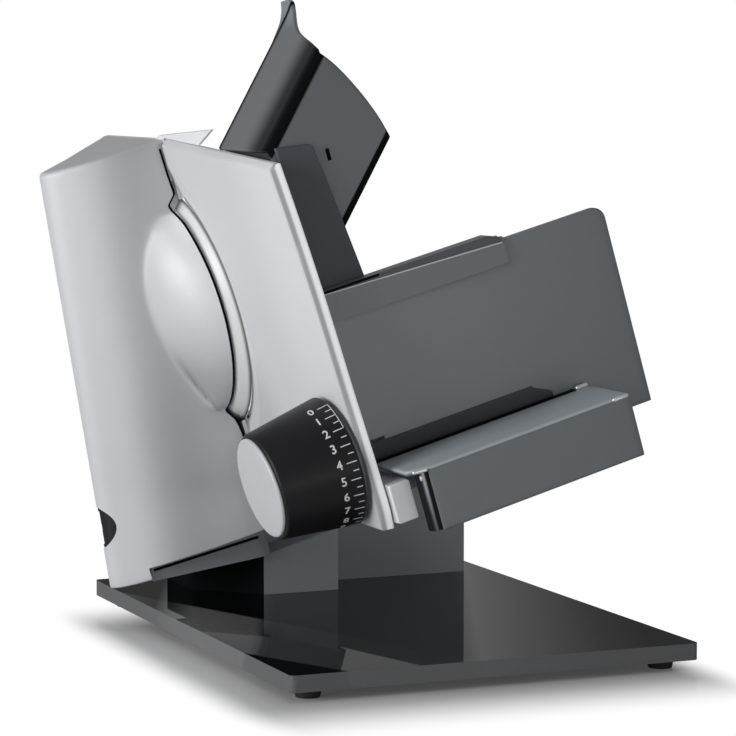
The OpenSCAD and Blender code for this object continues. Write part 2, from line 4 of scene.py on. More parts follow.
import bmesh
import bpy
import numpy as np
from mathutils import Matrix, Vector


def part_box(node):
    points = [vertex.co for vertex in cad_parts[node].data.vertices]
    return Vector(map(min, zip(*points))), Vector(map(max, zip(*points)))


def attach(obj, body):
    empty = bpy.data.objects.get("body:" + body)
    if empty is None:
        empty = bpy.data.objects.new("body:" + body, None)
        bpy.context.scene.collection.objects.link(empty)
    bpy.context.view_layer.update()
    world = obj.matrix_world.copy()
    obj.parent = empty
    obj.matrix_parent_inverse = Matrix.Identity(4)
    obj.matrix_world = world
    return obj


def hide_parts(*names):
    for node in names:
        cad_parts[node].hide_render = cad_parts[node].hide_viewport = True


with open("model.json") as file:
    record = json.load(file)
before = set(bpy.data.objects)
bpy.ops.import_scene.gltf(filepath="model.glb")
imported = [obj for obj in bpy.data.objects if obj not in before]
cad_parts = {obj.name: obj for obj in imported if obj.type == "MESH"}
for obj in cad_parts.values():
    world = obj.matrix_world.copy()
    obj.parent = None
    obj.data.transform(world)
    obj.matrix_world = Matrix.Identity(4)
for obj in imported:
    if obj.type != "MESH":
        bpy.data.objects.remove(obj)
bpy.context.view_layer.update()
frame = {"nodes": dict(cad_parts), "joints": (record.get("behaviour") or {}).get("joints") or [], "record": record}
nodes = frame["nodes"]
scene = bpy.context.scene
print("frame loaded:", len(nodes), "nodes")

# the leaning head's own axes: n along the blade axis, y to the rear, u up the head, in mm
spin = next(j for j in frame["joints"] if j["name"] == "blade_spin")
bladeY = -4.0
axisN = np.array(spin["axis"])
axisY = np.array([0.0, 1.0, 0.0])
axisU = np.array([-axisN[2], 0.0, axisN[0]])
headOrigin = np.array(spin["pos_m"]) - axisY * bladeY / 1000.0


def head(n, y, u):
    # world place = head origin + n along the blade axis + y to the rear + u up the head
    n, y, u = np.broadcast_arrays(np.asarray(n, float), y, u)
    return headOrigin + (n[..., None] * axisN + y[..., None] * axisY + u[..., None] * axisU) / 1000.0


def toWorld(p):
    return head(p[..., 0], p[..., 1], p[..., 2])


# camera
cameraSet = {"eye": (-0.709385, -1.7489, 0.3490), "pitchDown": 5.459, "yaw": 22.754, "lens": 150.5}
cam = bpy.data.objects.new("photoCamera", bpy.data.cameras.new("photoCamera"))
cam.location = cameraSet["eye"]
cam.rotation_euler = (math.radians(90 - cameraSet["pitchDown"]), 0, math.radians(-cameraSet["yaw"]))
cam.data.lens = cameraSet["lens"]
cam.data.clip_end = 50
scene.collection.objects.link(cam)
scene.camera = cam
scene.view_settings.view_transform = "Standard"


# shader node helpers: what is given to an input is an output socket to join or a constant to set
def setInputs(tree, node, values):
    for key, value in values.items():
        if hasattr(value, "links"):
            tree.links.new(value, node.inputs[key])
        else:
            node.inputs[key].default_value = value


def addNode(tree, kind, values, **settings):
    node = tree.nodes.new(kind)
    for key, value in settings.items():
        setattr(node, key, value)
    setInputs(tree, node, values)
    return node


def mathNode(tree, operation, a, b=0.0):
    return addNode(tree, "ShaderNodeMath", {0: a, 1: b}, operation=operation).outputs[0]


def vectorNode(tree, operation, a, b=(0, 0, 0)):
    # b is the second vector, or the factor of a SCALE
    second = "Scale" if operation == "SCALE" else 1
    m = addNode(tree, "ShaderNodeVectorMath", {0: a, second: b}, operation=operation)
    return m.outputs["Value" if operation in ("LENGTH", "DOT_PRODUCT") else "Vector"]


def rangeNode(tree, value, lo, hi, start=0.0, kind="SMOOTHSTEP"):
    # start to 1 while the value goes from lo to hi
    values = {"Value": value, "From Min": lo, "From Max": hi, "To Min": start}
    return addNode(tree, "ShaderNodeMapRange", values, interpolation_type=kind).outputs[0]


def mixColours(tree, share, a, b):
    return addNode(tree, "ShaderNodeMix", {0: share, 6: a, 7: b}, data_type="RGBA").outputs[2]


def mixShaders(tree, share, a, b):
    return addNode(tree, "ShaderNodeMixShader", {0: share, 1: a.outputs[0], 2: b.outputs[0]}).outputs[0]


def objectPlace(tree):
    return tree.nodes.new("ShaderNodeTexCoord").outputs["Object"]


def seenRay(tree):
    # 1 for rays that only show the picture: camera and glass rays
    kind = tree.nodes.new("ShaderNodeLightPath")
    return mathNode(tree, "MAXIMUM", kind.outputs["Is Camera Ray"], kind.outputs["Is Transmission Ray"])


def newMaterial(name):
    m = bpy.data.materials.new(name)
    m.use_nodes = True
    return m, m.node_tree, m.node_tree.nodes["Principled BSDF"]


# light: a dim even world that looks white, a large soft key from the left and a low fill in front
lightSet = {
    "world": 0.34,
    "keyLeft": {"place": (-2.2, -0.42, 0.36), "target": (-0.05, 0.0, 0.22), "size": (1.4, 1.4), "power": 38.0},
    "fillFront": {"place": (0.3, -2.3, 0.16), "target": (0.02, 0.0, 0.14), "size": (1.6, 0.28), "power": 3.6}}


def areaLight(name, place, target, size, power):
    light = bpy.data.lights.new(name, "AREA")
    light.shape = "RECTANGLE"
    light.size, light.size_y = size
    light.energy = power
    lamp = bpy.data.objects.new(name, light)
    lamp.location = place
    aim = np.array(target) - np.array(place)
    lamp.rotation_euler = (math.atan2(math.hypot(aim[0], aim[1]), -aim[2]), 0, math.atan2(-aim[0], aim[1]))
    scene.collection.objects.link(lamp)


world = bpy.data.worlds.new("studio")
world.use_nodes = True
scene.world = world
sky = world.node_tree
sky.nodes.clear()
skyLight = addNode(sky, "ShaderNodeBackground", {"Strength": lightSet["world"]})
skySeen = addNode(sky, "ShaderNodeBackground", {"Color": (1, 1, 1, 1)})
addNode(sky, "ShaderNodeOutputWorld", {0: mixShaders(sky, seenRay(sky), skyLight, skySeen)})
for name in ("keyLeft", "fillFront"):
    areaLight(name, **lightSet[name])

# floor: its shadow fades into plain white outside a rectangle, which is the base's own moved to the side and
# cut short at the rear; the distance counts more sideways
floorSet = {"radius": 6.0, "colour": 0.93, "rough": 0.14, "shine": 0.35, "fadeTo": 0.098, "white": 0.05,
            "spread": (3.0, 1, 1), "side": -0.016, "rear": 0.10}
floorMesh = bpy.data.meshes.new("floor")
fr = floorSet["radius"]
floorMesh.from_pydata([(-fr, -fr, 0), (fr, -fr, 0), (fr, fr, 0), (-fr, fr, 0)], [], [(0, 1, 2, 3)])
floor = bpy.data.objects.new("floor", floorMesh)
scene.collection.objects.link(floor)
floorMat, floorTree, floorBase = newMaterial("paleFloor")
setInputs(floorTree, floorBase, {"Base Color": (floorSet["colour"],) * 3 + (1,), "Roughness": floorSet["rough"],
                                 "Specular IOR Level": floorSet["shine"]})
baseLo, baseHi = (np.array(c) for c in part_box("glass_base_plate"))
cutRear = np.array([0, floorSet["rear"] / 2])
fadeMid = (baseLo + baseHi)[:2] / 2 + [floorSet["side"], 0] - cutRear
fadeHalf = (baseHi - baseLo)[:2] / 2 - cutRear
off = vectorNode(floorTree, "ABSOLUTE", vectorNode(floorTree, "SUBTRACT", objectPlace(floorTree), (*fadeMid, 0)))
off = vectorNode(floorTree, "MAXIMUM", vectorNode(floorTree, "SUBTRACT", off, (*fadeHalf, 1)))
off = vectorNode(floorTree, "LENGTH", vectorNode(floorTree, "MULTIPLY", off, floorSet["spread"]))
fade = rangeNode(floorTree, off, 0.0, floorSet["fadeTo"], floorSet["white"])
floorShare = mathNode(floorTree, "MULTIPLY", fade, seenRay(floorTree))
floorWhite = floorTree.nodes.new("ShaderNodeEmission")
setInputs(floorTree, floorTree.nodes["Material Output"],
          {0: mixShaders(floorTree, floorShare, floorBase, floorWhite)})
floorMesh.materials.append(floorMat)
print("studio set")


# shared shader groups
def shaderGroup(name, ins, outs):
    g = bpy.data.node_groups.new(name, "ShaderNodeTree")
    for label, kind, value in ins:
        s = g.interface.new_socket(label, in_out="INPUT", socket_type=kind)
        s.default_value = value
    for label, kind in outs:
        g.interface.new_socket(label, in_out="OUTPUT", socket_type=kind)
    return g, g.nodes.new("NodeGroupInput").outputs, g.nodes.new("NodeGroupOutput")


# fineGrain: two sizes of noise on Object coordinates give a colour near the base, a roughness and a height
grain, gIn, gOut = shaderGroup(
    "fineGrain",
    [("Base", "NodeSocketColor", (0.5, 0.5, 0.5, 1)), ("Scale", "NodeSocketFloat", 900.0),
     ("Mottle", "NodeSocketFloat", 0.06), ("Roughness", "NodeSocketFloat", 0.4), ("Spread", "NodeSocketFloat", 0.08)],
    [("Colour", "NodeSocketColor"), ("Roughness", "NodeSocketFloat"), ("Height", "NodeSocketFloat")])
grainPlace = objectPlace(grain)
gFine = addNode(grain, "ShaderNodeTexNoise", {"Vector": grainPlace, "Scale": gIn["Scale"], "Detail": 2.0})
gWide = addNode(grain, "ShaderNodeTexNoise", {"Vector": grainPlace, "Scale": 24.0, "Detail": 3.0})
fineOff = mathNode(grain, "SUBTRACT", gFine.outputs["Fac"], 0.5)
wideOff = mathNode(grain, "SUBTRACT", gWide.outputs["Fac"], 0.5)
mottled = mathNode(grain, "MULTIPLY", mathNode(grain, "ADD", fineOff, wideOff), gIn["Mottle"])
gain = mathNode(grain, "ADD", mottled, 1.0)
swung = mathNode(grain, "MULTIPLY", wideOff, gIn["Spread"])
setInputs(grain, gOut, {"Colour": vectorNode(grain, "SCALE", gIn["Base"], gain),
                        "Roughness": mathNode(grain, "ADD", gIn["Roughness"], swung), "Height": gFine.outputs["Fac"]})

# turnedLines: fine rings round an axis, from the distance to it: d = |p - centre - ((p - centre).axis) axis|
rings, rIn, rOut = shaderGroup(
    "turnedLines",
    [("Centre", "NodeSocketVector", (0, 0, 0)), ("Axis", "NodeSocketVector", (0, 0, 1)),
     ("Density", "NodeSocketFloat", 2500.0)],
    [("Lines", "NodeSocketFloat")])
fromCentre = vectorNode(rings, "SUBTRACT", objectPlace(rings), rIn["Centre"])
alongAxis = vectorNode(rings, "PROJECT", fromCentre, rIn["Axis"])
fromAxis = vectorNode(rings, "LENGTH", vectorNode(rings, "SUBTRACT", fromCentre, alongAxis))
ringPlace = mathNode(rings, "MULTIPLY", fromAxis, rIn["Density"])
rNoise = addNode(rings, "ShaderNodeTexNoise", {"W": ringPlace, "Detail": 2.0}, noise_dimensions="1D")
setInputs(rings, rOut, {"Lines": rNoise.outputs["Fac"]})


def grainMaterial(name, colour, scale, mottle, rough, spread, bump, metallic=0.0, specular=0.5):
    m, tree, base = newMaterial(name)
    g = addNode(tree, "ShaderNodeGroup", {"Base": (*colour, 1), "Scale": scale, "Mottle": mottle, "Roughness": rough,
                                          "Spread": spread}, node_tree=grain).outputs
    relief = addNode(tree, "ShaderNodeBump", {"Strength": bump, "Distance": 0.0004, "Height": g["Height"]})
    setInputs(tree, base, {"Base Color": g["Colour"], "Roughness": g["Roughness"], "Normal": relief.outputs[0],
                           "Metallic": metallic, "Specular IOR Level": specular})
    return m


def turnedMaterial(name, colour, centre, density, rough, metallic, swing=0.16):
    # rings round the blade's direction change the roughness
    m = grainMaterial(name, colour, 500, 0.03, rough, 0.05, 0.01, metallic)
    tree = m.node_tree
    r = addNode(tree, "ShaderNodeGroup", {"Centre": tuple(centre), "Axis": tuple(axisN), "Density": density},
                node_tree=rings)
    change = mathNode(tree, "MULTIPLY", mathNode(tree, "SUBTRACT", r.outputs["Lines"], 0.5), swing)
    setInputs(tree, tree.nodes["Principled BSDF"], {"Roughness": mathNode(tree, "ADD", change, rough)})
    return m


def toned(m):
    # the point attribute "tone" carries painted light and shade: it scales the colour by 1 + tone, and a dark tone also
    # dulls the reflection
    tree = m.node_tree
    base = tree.nodes["Principled BSDF"]
    colour, shine = base.inputs["Base Color"].links[0].from_socket, base.inputs["Specular IOR Level"].default_value
    mark = addNode(tree, "ShaderNodeAttribute", {}, attribute_name="tone")
    factor = mathNode(tree, "ADD", mark.outputs["Fac"], 1.0)
    dull = mathNode(tree, "MINIMUM", factor, 1.0)
    setInputs(tree, base, {"Base Color": vectorNode(tree, "SCALE", colour, factor),
                           "Specular IOR Level": mathNode(tree, "MULTIPLY", dull, shine)})
    return m


def paintTone(obj, tone):
    # writes the painted light and shade tone(n, y, u), taken at each point's place in the head's axes, as the point
    # attribute
    me = obj.data
    xyz = np.empty(len(me.vertices) * 3)
    me.vertices.foreach_get("co", xyz)
    d = (xyz.reshape(-1, 3) - headOrigin) * 1000.0
    values = tone(d @ axisN, d @ axisY, d @ axisU).astype(np.float32)
    me.attributes.new("tone", "FLOAT", "POINT").data.foreach_set("value", values)


# one finish for each material slot: colour, grain size, mottle, roughness and its spread, bump
knobPlace = (-207.0, -76.5)
finishes = {
    "silver_paint": toned(grainMaterial(
        "satinSilver", (0.67, 0.68, 0.704), 1400, 0.05, 0.50, 0.06, 0.05, metallic=0.15)),
    "slate_plastic": toned(grainMaterial("slateGloss", (0.180, 0.200, 0.214), 700, 0.06, 0.30, 0.06, 0.02)),
    "foot_rubber": grainMaterial("footRubber", (0.02, 0.02, 0.021), 500, 0.2, 0.75, 0.1, 0.2),
    "blade_steel": toned(turnedMaterial("groundSteel", (0.93, 0.935, 0.95), head(0, bladeY, 0), 2600, 0.40, 0.05)),
    "screw_steel": grainMaterial("plainSteel", (0.60, 0.61, 0.62), 600, 0.05, 0.32, 0.08, 0.02, metallic=1.0),
    "drive_steel": grainMaterial("oiledSteel", (0.42, 0.43, 0.45), 500, 0.08, 0.38, 0.1, 0.03, metallic=1.0),
    "bush_brass": grainMaterial("bushBrass", (0.68, 0.48, 0.20), 500, 0.06, 0.30, 0.1, 0.02, metallic=1.0),
    "magnet_black": grainMaterial("magnetBlack", (0.05, 0.05, 0.055), 400, 0.15, 0.6, 0.1, 0.1),
    "winding_copper": grainMaterial("windingCopper", (0.55, 0.27, 0.14), 300, 0.15, 0.4, 0.1, 0.1, metallic=1.0),
    "white_nylon": grainMaterial("whiteNylon", (0.78, 0.78, 0.74), 400, 0.04, 0.45, 0.06, 0.03),
    "black_plastic": grainMaterial(
        "satinBlack", (0.013, 0.013, 0.015), 800, 0.12, 0.42, 0.08, 0.05, specular=0.25),
    "capacitor_yellow": grainMaterial("capacitorYellow", (0.72, 0.56, 0.10), 300, 0.05, 0.4, 0.06, 0.02),
    "cap_grey": turnedMaterial("capGrey", (0.64, 0.652, 0.675), head(0, *knobPlace), 1800, 0.45, 0.1, 0.10),
}
# finishes of single pieces; most paint light and shade: near-black and darker slate ones paint shade, the lighter slate
# and silver copies paint light, the bright steel paints highlights, and the dial's white is print that also paints a
# highlight line
deepBlack = grainMaterial("deepBlack", (0.003, 0.003, 0.004), 600, 0.1, 0.6, 0.05, 0.01, specular=0.05)
shadedSide = grainMaterial("shadedSide", (0.004, 0.005, 0.006), 700, 0.1, 0.7, 0.05, 0.02, specular=0.04)
shadeSlate = grainMaterial("shadeSlate", (0.062, 0.068, 0.074), 700, 0.08, 0.40, 0.06, 0.02, specular=0.15)
strapSlate = grainMaterial("strapSlate", (0.104, 0.115, 0.129), 700, 0.06, 0.42, 0.06, 0.02, specular=0.1)
saddleShadeSlate = grainMaterial("saddleShadeSlate", (0.122, 0.130, 0.142), 700, 0.08, 0.40, 0.06, 0.02, specular=0.3)
litSlate = grainMaterial("litSlate", (0.26, 0.285, 0.30), 700, 0.06, 0.30, 0.06, 0.02)
glintSteel = grainMaterial("glintSteel", (0.85, 0.86, 0.87), 600, 0.03, 0.2, 0.04, 0.01, metallic=0.6)
litSilver = grainMaterial("litSilver", (0.94, 0.95, 0.97), 1400, 0.05, 0.45, 0.06, 0.05)
dialWhite = grainMaterial("dialWhite", (0.82, 0.82, 0.82), 900, 0.04, 0.55, 0.06, 0.02)

# dark glass: the cut edges are lighter, painted light for the lit floor under the glass lightens the part left of the
# head's shadow but not the near left corner, which also mirrors less, and the mirror fades towards the far right as the
# backdrop does
glassSet = {"body": 0.004, "edge": (0.145, 0.152, 0.156, 1), "rough": 0.4, "coatRough": 0.02, "soft": 0.002,
            "shadowSide": (0.934, 0.358, 0.0), "shadowAt": -0.047,
            "cornerSide": (0.903, 0.430, 0.0), "cornerAt": -0.1325, "cornerKeep": 0.14,
            "across": (0.922, -0.387, 0.0), "from": -0.14, "to": 0.22,
            "lit": [(-0.14, 0.100), (-0.124, 0.100), (-0.112, 0.045), (-0.100, 0.06), (-0.088, 0.20),
                    (-0.046, 0.17), (-0.040, 0.036), (0.01, 0.016), (0.22, 0.006)],
            "mirror": [(-0.14, 0.28), (-0.112, 0.28), (-0.100, 1.0), (-0.046, 1.0), (-0.036, 0.72), (0.078, 0.72),
                       (0.088, 1.0), (0.115, 0.72), (0.16, 0.36), (0.19, 0.24), (0.22, 0.26)]}
gs = glassSet
glass, glassTree, glassBase = newMaterial("tintedGlass")
glassCoord = glassTree.nodes.new("ShaderNodeTexCoord").outputs


def glassAlong(direction):
    return vectorNode(glassTree, "DOT_PRODUCT", glassCoord["Object"], direction)


def glassSteps(steps):
    # a value that goes through the given (place, value) steps along the picture's width
    share = rangeNode(glassTree, glassAlong(gs["across"]), gs["from"], gs["to"], kind="LINEAR")
    ramp = addNode(glassTree, "ShaderNodeValToRGB", {"Fac": share})
    stops = ramp.color_ramp.elements
    for k, (place, value) in enumerate(steps):
        stop = stops[k] if k < 2 else stops.new(1.0)
        stop.position = (place - gs["from"]) / (gs["to"] - gs["from"])
        stop.color = (value, value, value, 1)
    return ramp.outputs["Color"]


def glassSide(direction, place):
    # 0 to 1 across a straight line on the glass
    return rangeNode(glassTree, glassAlong(direction), place - gs["soft"], place + gs["soft"])


openSide = glassSide(gs["cornerSide"], gs["cornerAt"])
unlit = glassSide(gs["shadowSide"], gs["shadowAt"])
lit = mathNode(glassTree, "MULTIPLY", mathNode(glassTree, "SUBTRACT", 1.0, unlit), openSide)
darkBody = (gs["body"], 1.15 * gs["body"], 1.25 * gs["body"], 1)
glassBody = mixColours(glassTree, lit, darkBody, glassSteps(gs["lit"]))
glassNormal = addNode(glassTree, "ShaderNodeSeparateXYZ", {0: glassCoord["Normal"]})
flatShare = mathNode(glassTree, "ABSOLUTE", glassNormal.outputs["Z"])
mirrored = mathNode(glassTree, "MULTIPLY", openSide, 1 - gs["cornerKeep"])
mirrored = mathNode(glassTree, "ADD", mirrored, gs["cornerKeep"])
setInputs(glassTree, glassBase, {
    "Base Color": mixColours(glassTree, flatShare, gs["edge"], glassBody),
    "Coat Weight": mathNode(glassTree, "MULTIPLY", glassSteps(gs["mirror"]), mirrored),
    "Roughness": gs["rough"], "Specular IOR Level": 0.0, "Coat Roughness": gs["coatRough"]})
finishes["tinted_glass"] = glass

slotOf = {s["node"]: s["material_slot"] for s in frame["record"]["subparts"]}
for name, obj in nodes.items():
    obj.data.materials.clear()
    obj.data.materials.append(finishes[slotOf[name]])
print("finishes set")


# mesh helpers
def fullTurn(count):
    return np.linspace(0, 2 * math.pi, count, endpoint=False)


def softStep(x, lo, hi):
    t = np.clip((x - lo) / (hi - lo), 0, 1)
    return t * t * (3 - 2 * t)


def curve(x, xs, ys):
    # smooth curve through the points (xs, ys): cubic pieces whose slopes are the mean ones
    xs, ys = np.asarray(xs, float), np.asarray(ys, float)
    m = np.gradient(ys, xs)
    x = np.clip(x, xs[0], xs[-1])
    k = np.clip(np.searchsorted(xs, x) - 1, 0, len(xs) - 2)
    h = xs[k + 1] - xs[k]
    t = (x - xs[k]) / h
    return ((1 + 2 * t) * (1 - t) ** 2 * ys[k] + t * (1 - t) ** 2 * h * m[k]
            + t * t * (3 - 2 * t) * ys[k + 1] + t * t * (t - 1) * h * m[k + 1])


def edgeSpread(length, r, count):
    # places from 0 to 1, closer together over the rounded edges of radius r
    e = r * (1 - np.cos(np.linspace(0, math.pi / 2, 5))) / length
    return np.concatenate([e[:-1], np.linspace(e[-1], 1 - e[-1], count), 1 - e[:-1][::-1]])


def gridQuads(rows, cols, wrap=False):
    # quads of a rows x cols grid of points; wrap joins the last column to the first
    r = np.arange(rows - 1)[:, None]
    c = np.arange(cols if wrap else cols - 1)[None, :]
    d = (c + 1) % cols
    return np.stack([r * cols + c, r * cols + d, (r + 1) * cols + d, (r + 1) * cols + c], -1).reshape(-1, 4)


def tubeFaces(rows, cols):
    # a wrapped grid closed by a face at each end
    ends = [list(range(cols)), list(range((rows - 1) * cols, rows * cols))]
    return gridQuads(rows, cols, True).tolist() + ends


def meshObject(name, points, faces):
    # mesh with merged points and outward normals
    me = bpy.data.meshes.new(name)
    me.from_pydata(points.reshape(-1, 3).tolist(), [], faces)
    bm = bmesh.new()
    bm.from_mesh(me)
    bmesh.ops.remove_doubles(bm, verts=bm.verts, dist=2e-6)
    bmesh.ops.recalc_face_normals(bm, faces=bm.faces)
    bm.to_mesh(me)
    bm.free()
    obj = bpy.data.objects.new(name, me)
    scene.collection.objects.link(obj)
    return obj


def smoothFaces(me, sharp):
    me.polygons.foreach_set("use_smooth", np.ones(len(me.polygons), dtype=bool))
    me.set_sharp_from_angle(angle=math.radians(sharp))


def makePiece(name, points, faces, body, slotName, finish=None, stands=(), sharp=35):
    obj = meshObject(name, points, faces)
    smoothFaces(obj.data, sharp)
    obj.data.materials.append(finish or finishes[slotName])
    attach(obj, body)
    if stands:
        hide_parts(*stands)
    return obj


boxCorners = np.array([[0, 0, 0], [1, 0, 0], [1, 1, 0], [0, 1, 0],
                       [0, 0, 1], [1, 0, 1], [1, 1, 1], [0, 1, 1]], float)
boxFaces = [(0, 1, 2, 3), (4, 5, 6, 7), (0, 1, 5, 4), (1, 2, 6, 5), (2, 3, 7, 6), (3, 0, 4, 7)]


def boxPoints(lo, hi):
    return toWorld(np.array(lo) + boxCorners * (np.array(hi) - np.array(lo)))


def strip(name, lo, hi, body, finish=None, slotName="slate_plastic"):
    # box along the head's axes
    makePiece(name, boxPoints(lo, hi), boxFaces, body, slotName, finish)


def rod(name, start, stop, r, body, slotName, finish=None, stands=(), count=20):
    # round bar between two places in the head's axes, with domed ends
    a, b = np.array(start, float), np.array(stop, float)
    length = np.linalg.norm(b - a)
    w = (b - a) / length
    s = np.cross(w, [0.0, 0.3, 1.0])
    s = s / np.linalg.norm(s)
    c = np.cross(w, s)
    e = np.linspace(0, math.pi / 2, 6)
    along = np.concatenate([-r * np.cos(e), length + r * np.sin(e)])[:, None, None]
    wide = np.concatenate([r * np.sin(e), r * np.cos(e)])[:, None, None]
    g = fullTurn(count)[None, :, None]
    points = toWorld(a + along * w + wide * (np.cos(g) * s + np.sin(g) * c))
    makePiece(name, points, gridQuads(len(along), count, True).tolist(), body, slotName, finish, stands)


def boxCutter(lo, hi):
    return meshObject("cutter", boxPoints(lo, hi), boxFaces)


def rodCutter(n0, n1, y, u, r, count=64):
    a = fullTurn(count)
    ring = np.stack([head(n, y + r * np.cos(a), u + r * np.sin(a)) for n in (n0, n1)])
    return meshObject("cutter", ring, tubeFaces(2, count))


def cutAway(obj, tools, sharp):
    for tool in tools:
        m = obj.modifiers.new("cut", "BOOLEAN")
        m.operation = "DIFFERENCE"
        m.solver = "EXACT"
        m.object = tool
    done = bpy.data.meshes.new_from_object(obj.evaluated_get(bpy.context.evaluated_depsgraph_get()))
    obj.modifiers.clear()
    obj.data = done
    smoothFaces(done, sharp)
    for tool in tools:
        bpy.data.objects.remove(tool)


def alongEdge(grid, axis):
    # distance in mm from each point of the grid to the nearer end of its row or column
    step = np.linalg.norm(np.diff(grid, axis=axis), axis=2)
    zero = np.zeros_like(np.take(step, [0], axis=axis))
    run = np.concatenate([zero, np.cumsum(step, axis=axis)], axis=axis)
    return np.minimum(run, np.take(run, [-1], axis=axis) - run)


def sheetPiece(name, n, y, u, thick, r, body, finish=None, stands=(), slotName="slate_plastic", normal=None,
               sharp=50):
    # closed skin of a sheet: both faces lie half the thickness from the middle surface (n, y, u), and near an
    # edge each face sinks by r - sqrt(r^2 - e^2), with e the depth into the rounded strip
    mid = np.stack(np.broadcast_arrays(n, y, u), -1)
    if normal is None:
        normal = np.cross(np.gradient(mid, axis=0), np.gradient(mid, axis=1))
        normal = normal / np.linalg.norm(normal, axis=2, keepdims=True)
    e = np.hypot(np.maximum(r - alongEdge(mid, 0), 0), np.maximum(r - alongEdge(mid, 1), 0))
    sink = r - np.sqrt(np.maximum(r * r - np.minimum(e, r) ** 2, 0))
    half = (thick / 2 - sink)[..., None] * normal
    rows, cols = mid.shape[:2]
    top = gridQuads(rows, cols)
    count = rows * cols
    i = np.arange(count).reshape(rows, cols)
    rim = np.concatenate([i[0, :-1], i[:-1, -1], i[-1, :0:-1], i[:0:-1, 0]])
    nxt = np.roll(rim, -1)
    side = np.stack([rim, nxt, nxt + count, rim + count], -1)
    faces = np.concatenate([top, top[:, ::-1] + count, side]).tolist()
    return makePiece(name, toWorld(np.stack([mid + half, mid - half])), faces, body, slotName, finish, stands, sharp)


def softCorners(points, r, steps, closed):
    # rounds each corner of an outline: a short parabola from r before the corner to r after it
    p = np.asarray(points, float)
    before, after = np.roll(p, 1, 0) - p, np.roll(p, -1, 0) - p
    lb, la = np.linalg.norm(before, axis=1, keepdims=True), np.linalg.norm(after, axis=1, keepdims=True)
    a = p + before / lb * np.minimum(r, 0.45 * lb)
    b = p + after / la * np.minimum(r, 0.45 * la)
    t = np.linspace(0, 1, steps)[None, :, None]
    out = (1 - t) ** 2 * a[:, None] + 2 * t * (1 - t) * p[:, None] + t * t * b[:, None]
    if not closed:
        out[0], out[-1] = p[0], p[-1]
    return out.reshape(-1, p.shape[1])


def turnedPiece(name, outline, r, steps, centre, segments, body, slotName, stands=(), closed=True, sharp=35):
    # outline of (radius, n) with soft corners, turned about the axis through centre = (y, u)
    a = fullTurn(segments)
    profile = softCorners(outline, r, steps, closed)
    if closed:
        profile = np.concatenate([profile, profile[:1]])
    radius, n = profile[:, 0, None], profile[:, 1, None]
    points = head(n, centre[0] + radius * np.cos(a), centre[1] + radius * np.sin(a))
    faces = gridQuads(len(profile), segments, True).tolist()
    return makePiece(name, points, faces, body, slotName, stands=stands, sharp=sharp)


# motor housing: one closed skin, a loop of points at each height
housingSet = {"top": 112.0, "bottom": -152.0, "tipTop": -78.5, "tipBottom": -109.0, "tipY": -12.0, "frontY": -38.0,
              "flatN": -20.0, "rearN": -3.0, "rear": 80.0, "edge": 3.0, "lowEdge": 1.5, "pull": 1.15,
              "midN": -34.0, "midY": 6.0, "sharp": 38}
hs = housingSet
# the gear dome on its front: rim circle, crease line and the arc between them
domeSet = {"rimY": -5.6, "rimU": 2.7, "rimR": 72.2, "frontY": -37.4, "creaseN": -8.0, "creaseDepth": 32.0,
           "midU": 1.0, "halfU": 73.0, "arcFrom": 0.90, "arcTo": 0.42, "blend": 2.2}
dm = domeSet
heights = np.concatenate([hs["bottom"] + hs["lowEdge"] * (1 - np.cos(np.linspace(0, math.pi / 2, 4))),
                          np.linspace(-146, -84, 20), np.linspace(-82, -56, 27), np.linspace(-53, 62, 38),
                          np.linspace(64, 82, 19), np.linspace(84, 108, 9),
                          hs["top"] - hs["edge"] * (1 - np.sin(np.linspace(0.15, math.pi / 2, 6)))])
hu = np.unique(np.round(heights, 4))[:, None]


def tipAt(u):
    return hs["tipTop"] + (hs["tipBottom"] - hs["tipTop"]) * (hs["top"] - u) / (hs["top"] - hs["bottom"])


def rimEdge(u):
    # food-side edge of the front: straight at the top and bottom, a notch at each end of the dome's rim
    return np.interp(
        u, [-152, -81, -76, -70.5, -66, -63.5, -56, -45, -25, 0, 25, 50, 60, 67, 71.6, 77.3, 80, 90, 112],
        [-5.6, -5.6, -6.2, -7.4, -10.4, -12.0, -11.0, -10.5, -9.9, -9.4, -9.3, -9.6, -9.6, -10.6, -12.0, -6.4, -6.4,
         -7.2, -7.8])


def domeAcross(n, u):
    # 0 at the dome's crease to 1 at its rim, and the rim's rise over the flat front
    rim = dm["rimY"] - np.sqrt(np.maximum(dm["rimR"] ** 2 - (u - dm["rimU"]) ** 2, 0))
    w = np.clip((u - dm["midU"]) / dm["halfU"], -1, 1)
    crease = dm["creaseN"] - dm["creaseDepth"] * (1 - w * w) ** 0.75 * (1 + 0.3 * w)
    return (n - crease) / np.maximum(rimEdge(u) - crease, 2.0), np.maximum(dm["frontY"] - rim, 0)


def housingTone(n, y, u):
    # painted light and shade: a painted highlight on the facet behind the nose, painted shade in the valley beside the
    # dome and on the fold at its lower crease, and paint that evens out the dome's own shade
    t, rise = domeAcross(n, u)
    facet = curve(1.38 * (n - tipAt(u)) + 0.53 * (hs["tipY"] - y),
                  [0, 14, 26, 34, 42, 50, 58, 66, 74, 82, 90, 98, 106, 130, 180],
                  [0, 0.02, 0.15, 0.21, 0.19, 0.13, 0.035, -0.06, -0.12, -0.15, -0.14, -0.11, -0.06, 0.05, 0.10])
    crease = curve(u, [-60, -36, -16, 4, 27, 46, 60, 75], [-0.26, -0.33, -0.15, -0.03, -0.08, -0.15, -0.02, 0])
    rim = curve(u, [-60, -36, 4, 27, 46, 60, 75], [0.20, 0.28, 0.22, 0.28, 0.50, 0.60, 0.60])
    even = crease + rim * np.clip(t, 0, 1)
    raised = np.clip(rise / 3, 0, 1)
    dome = softStep(t, -0.03, 0.05) * raised
    fold = -0.24 * np.exp(-((t - 0.03) / 0.07) ** 2) * softStep(-u, 8, 34) * raised
    return (y < hs["tipY"]) * (1 - softStep(u, 110.4, 111.9)) * (facet + (even - facet) * dome + fold)


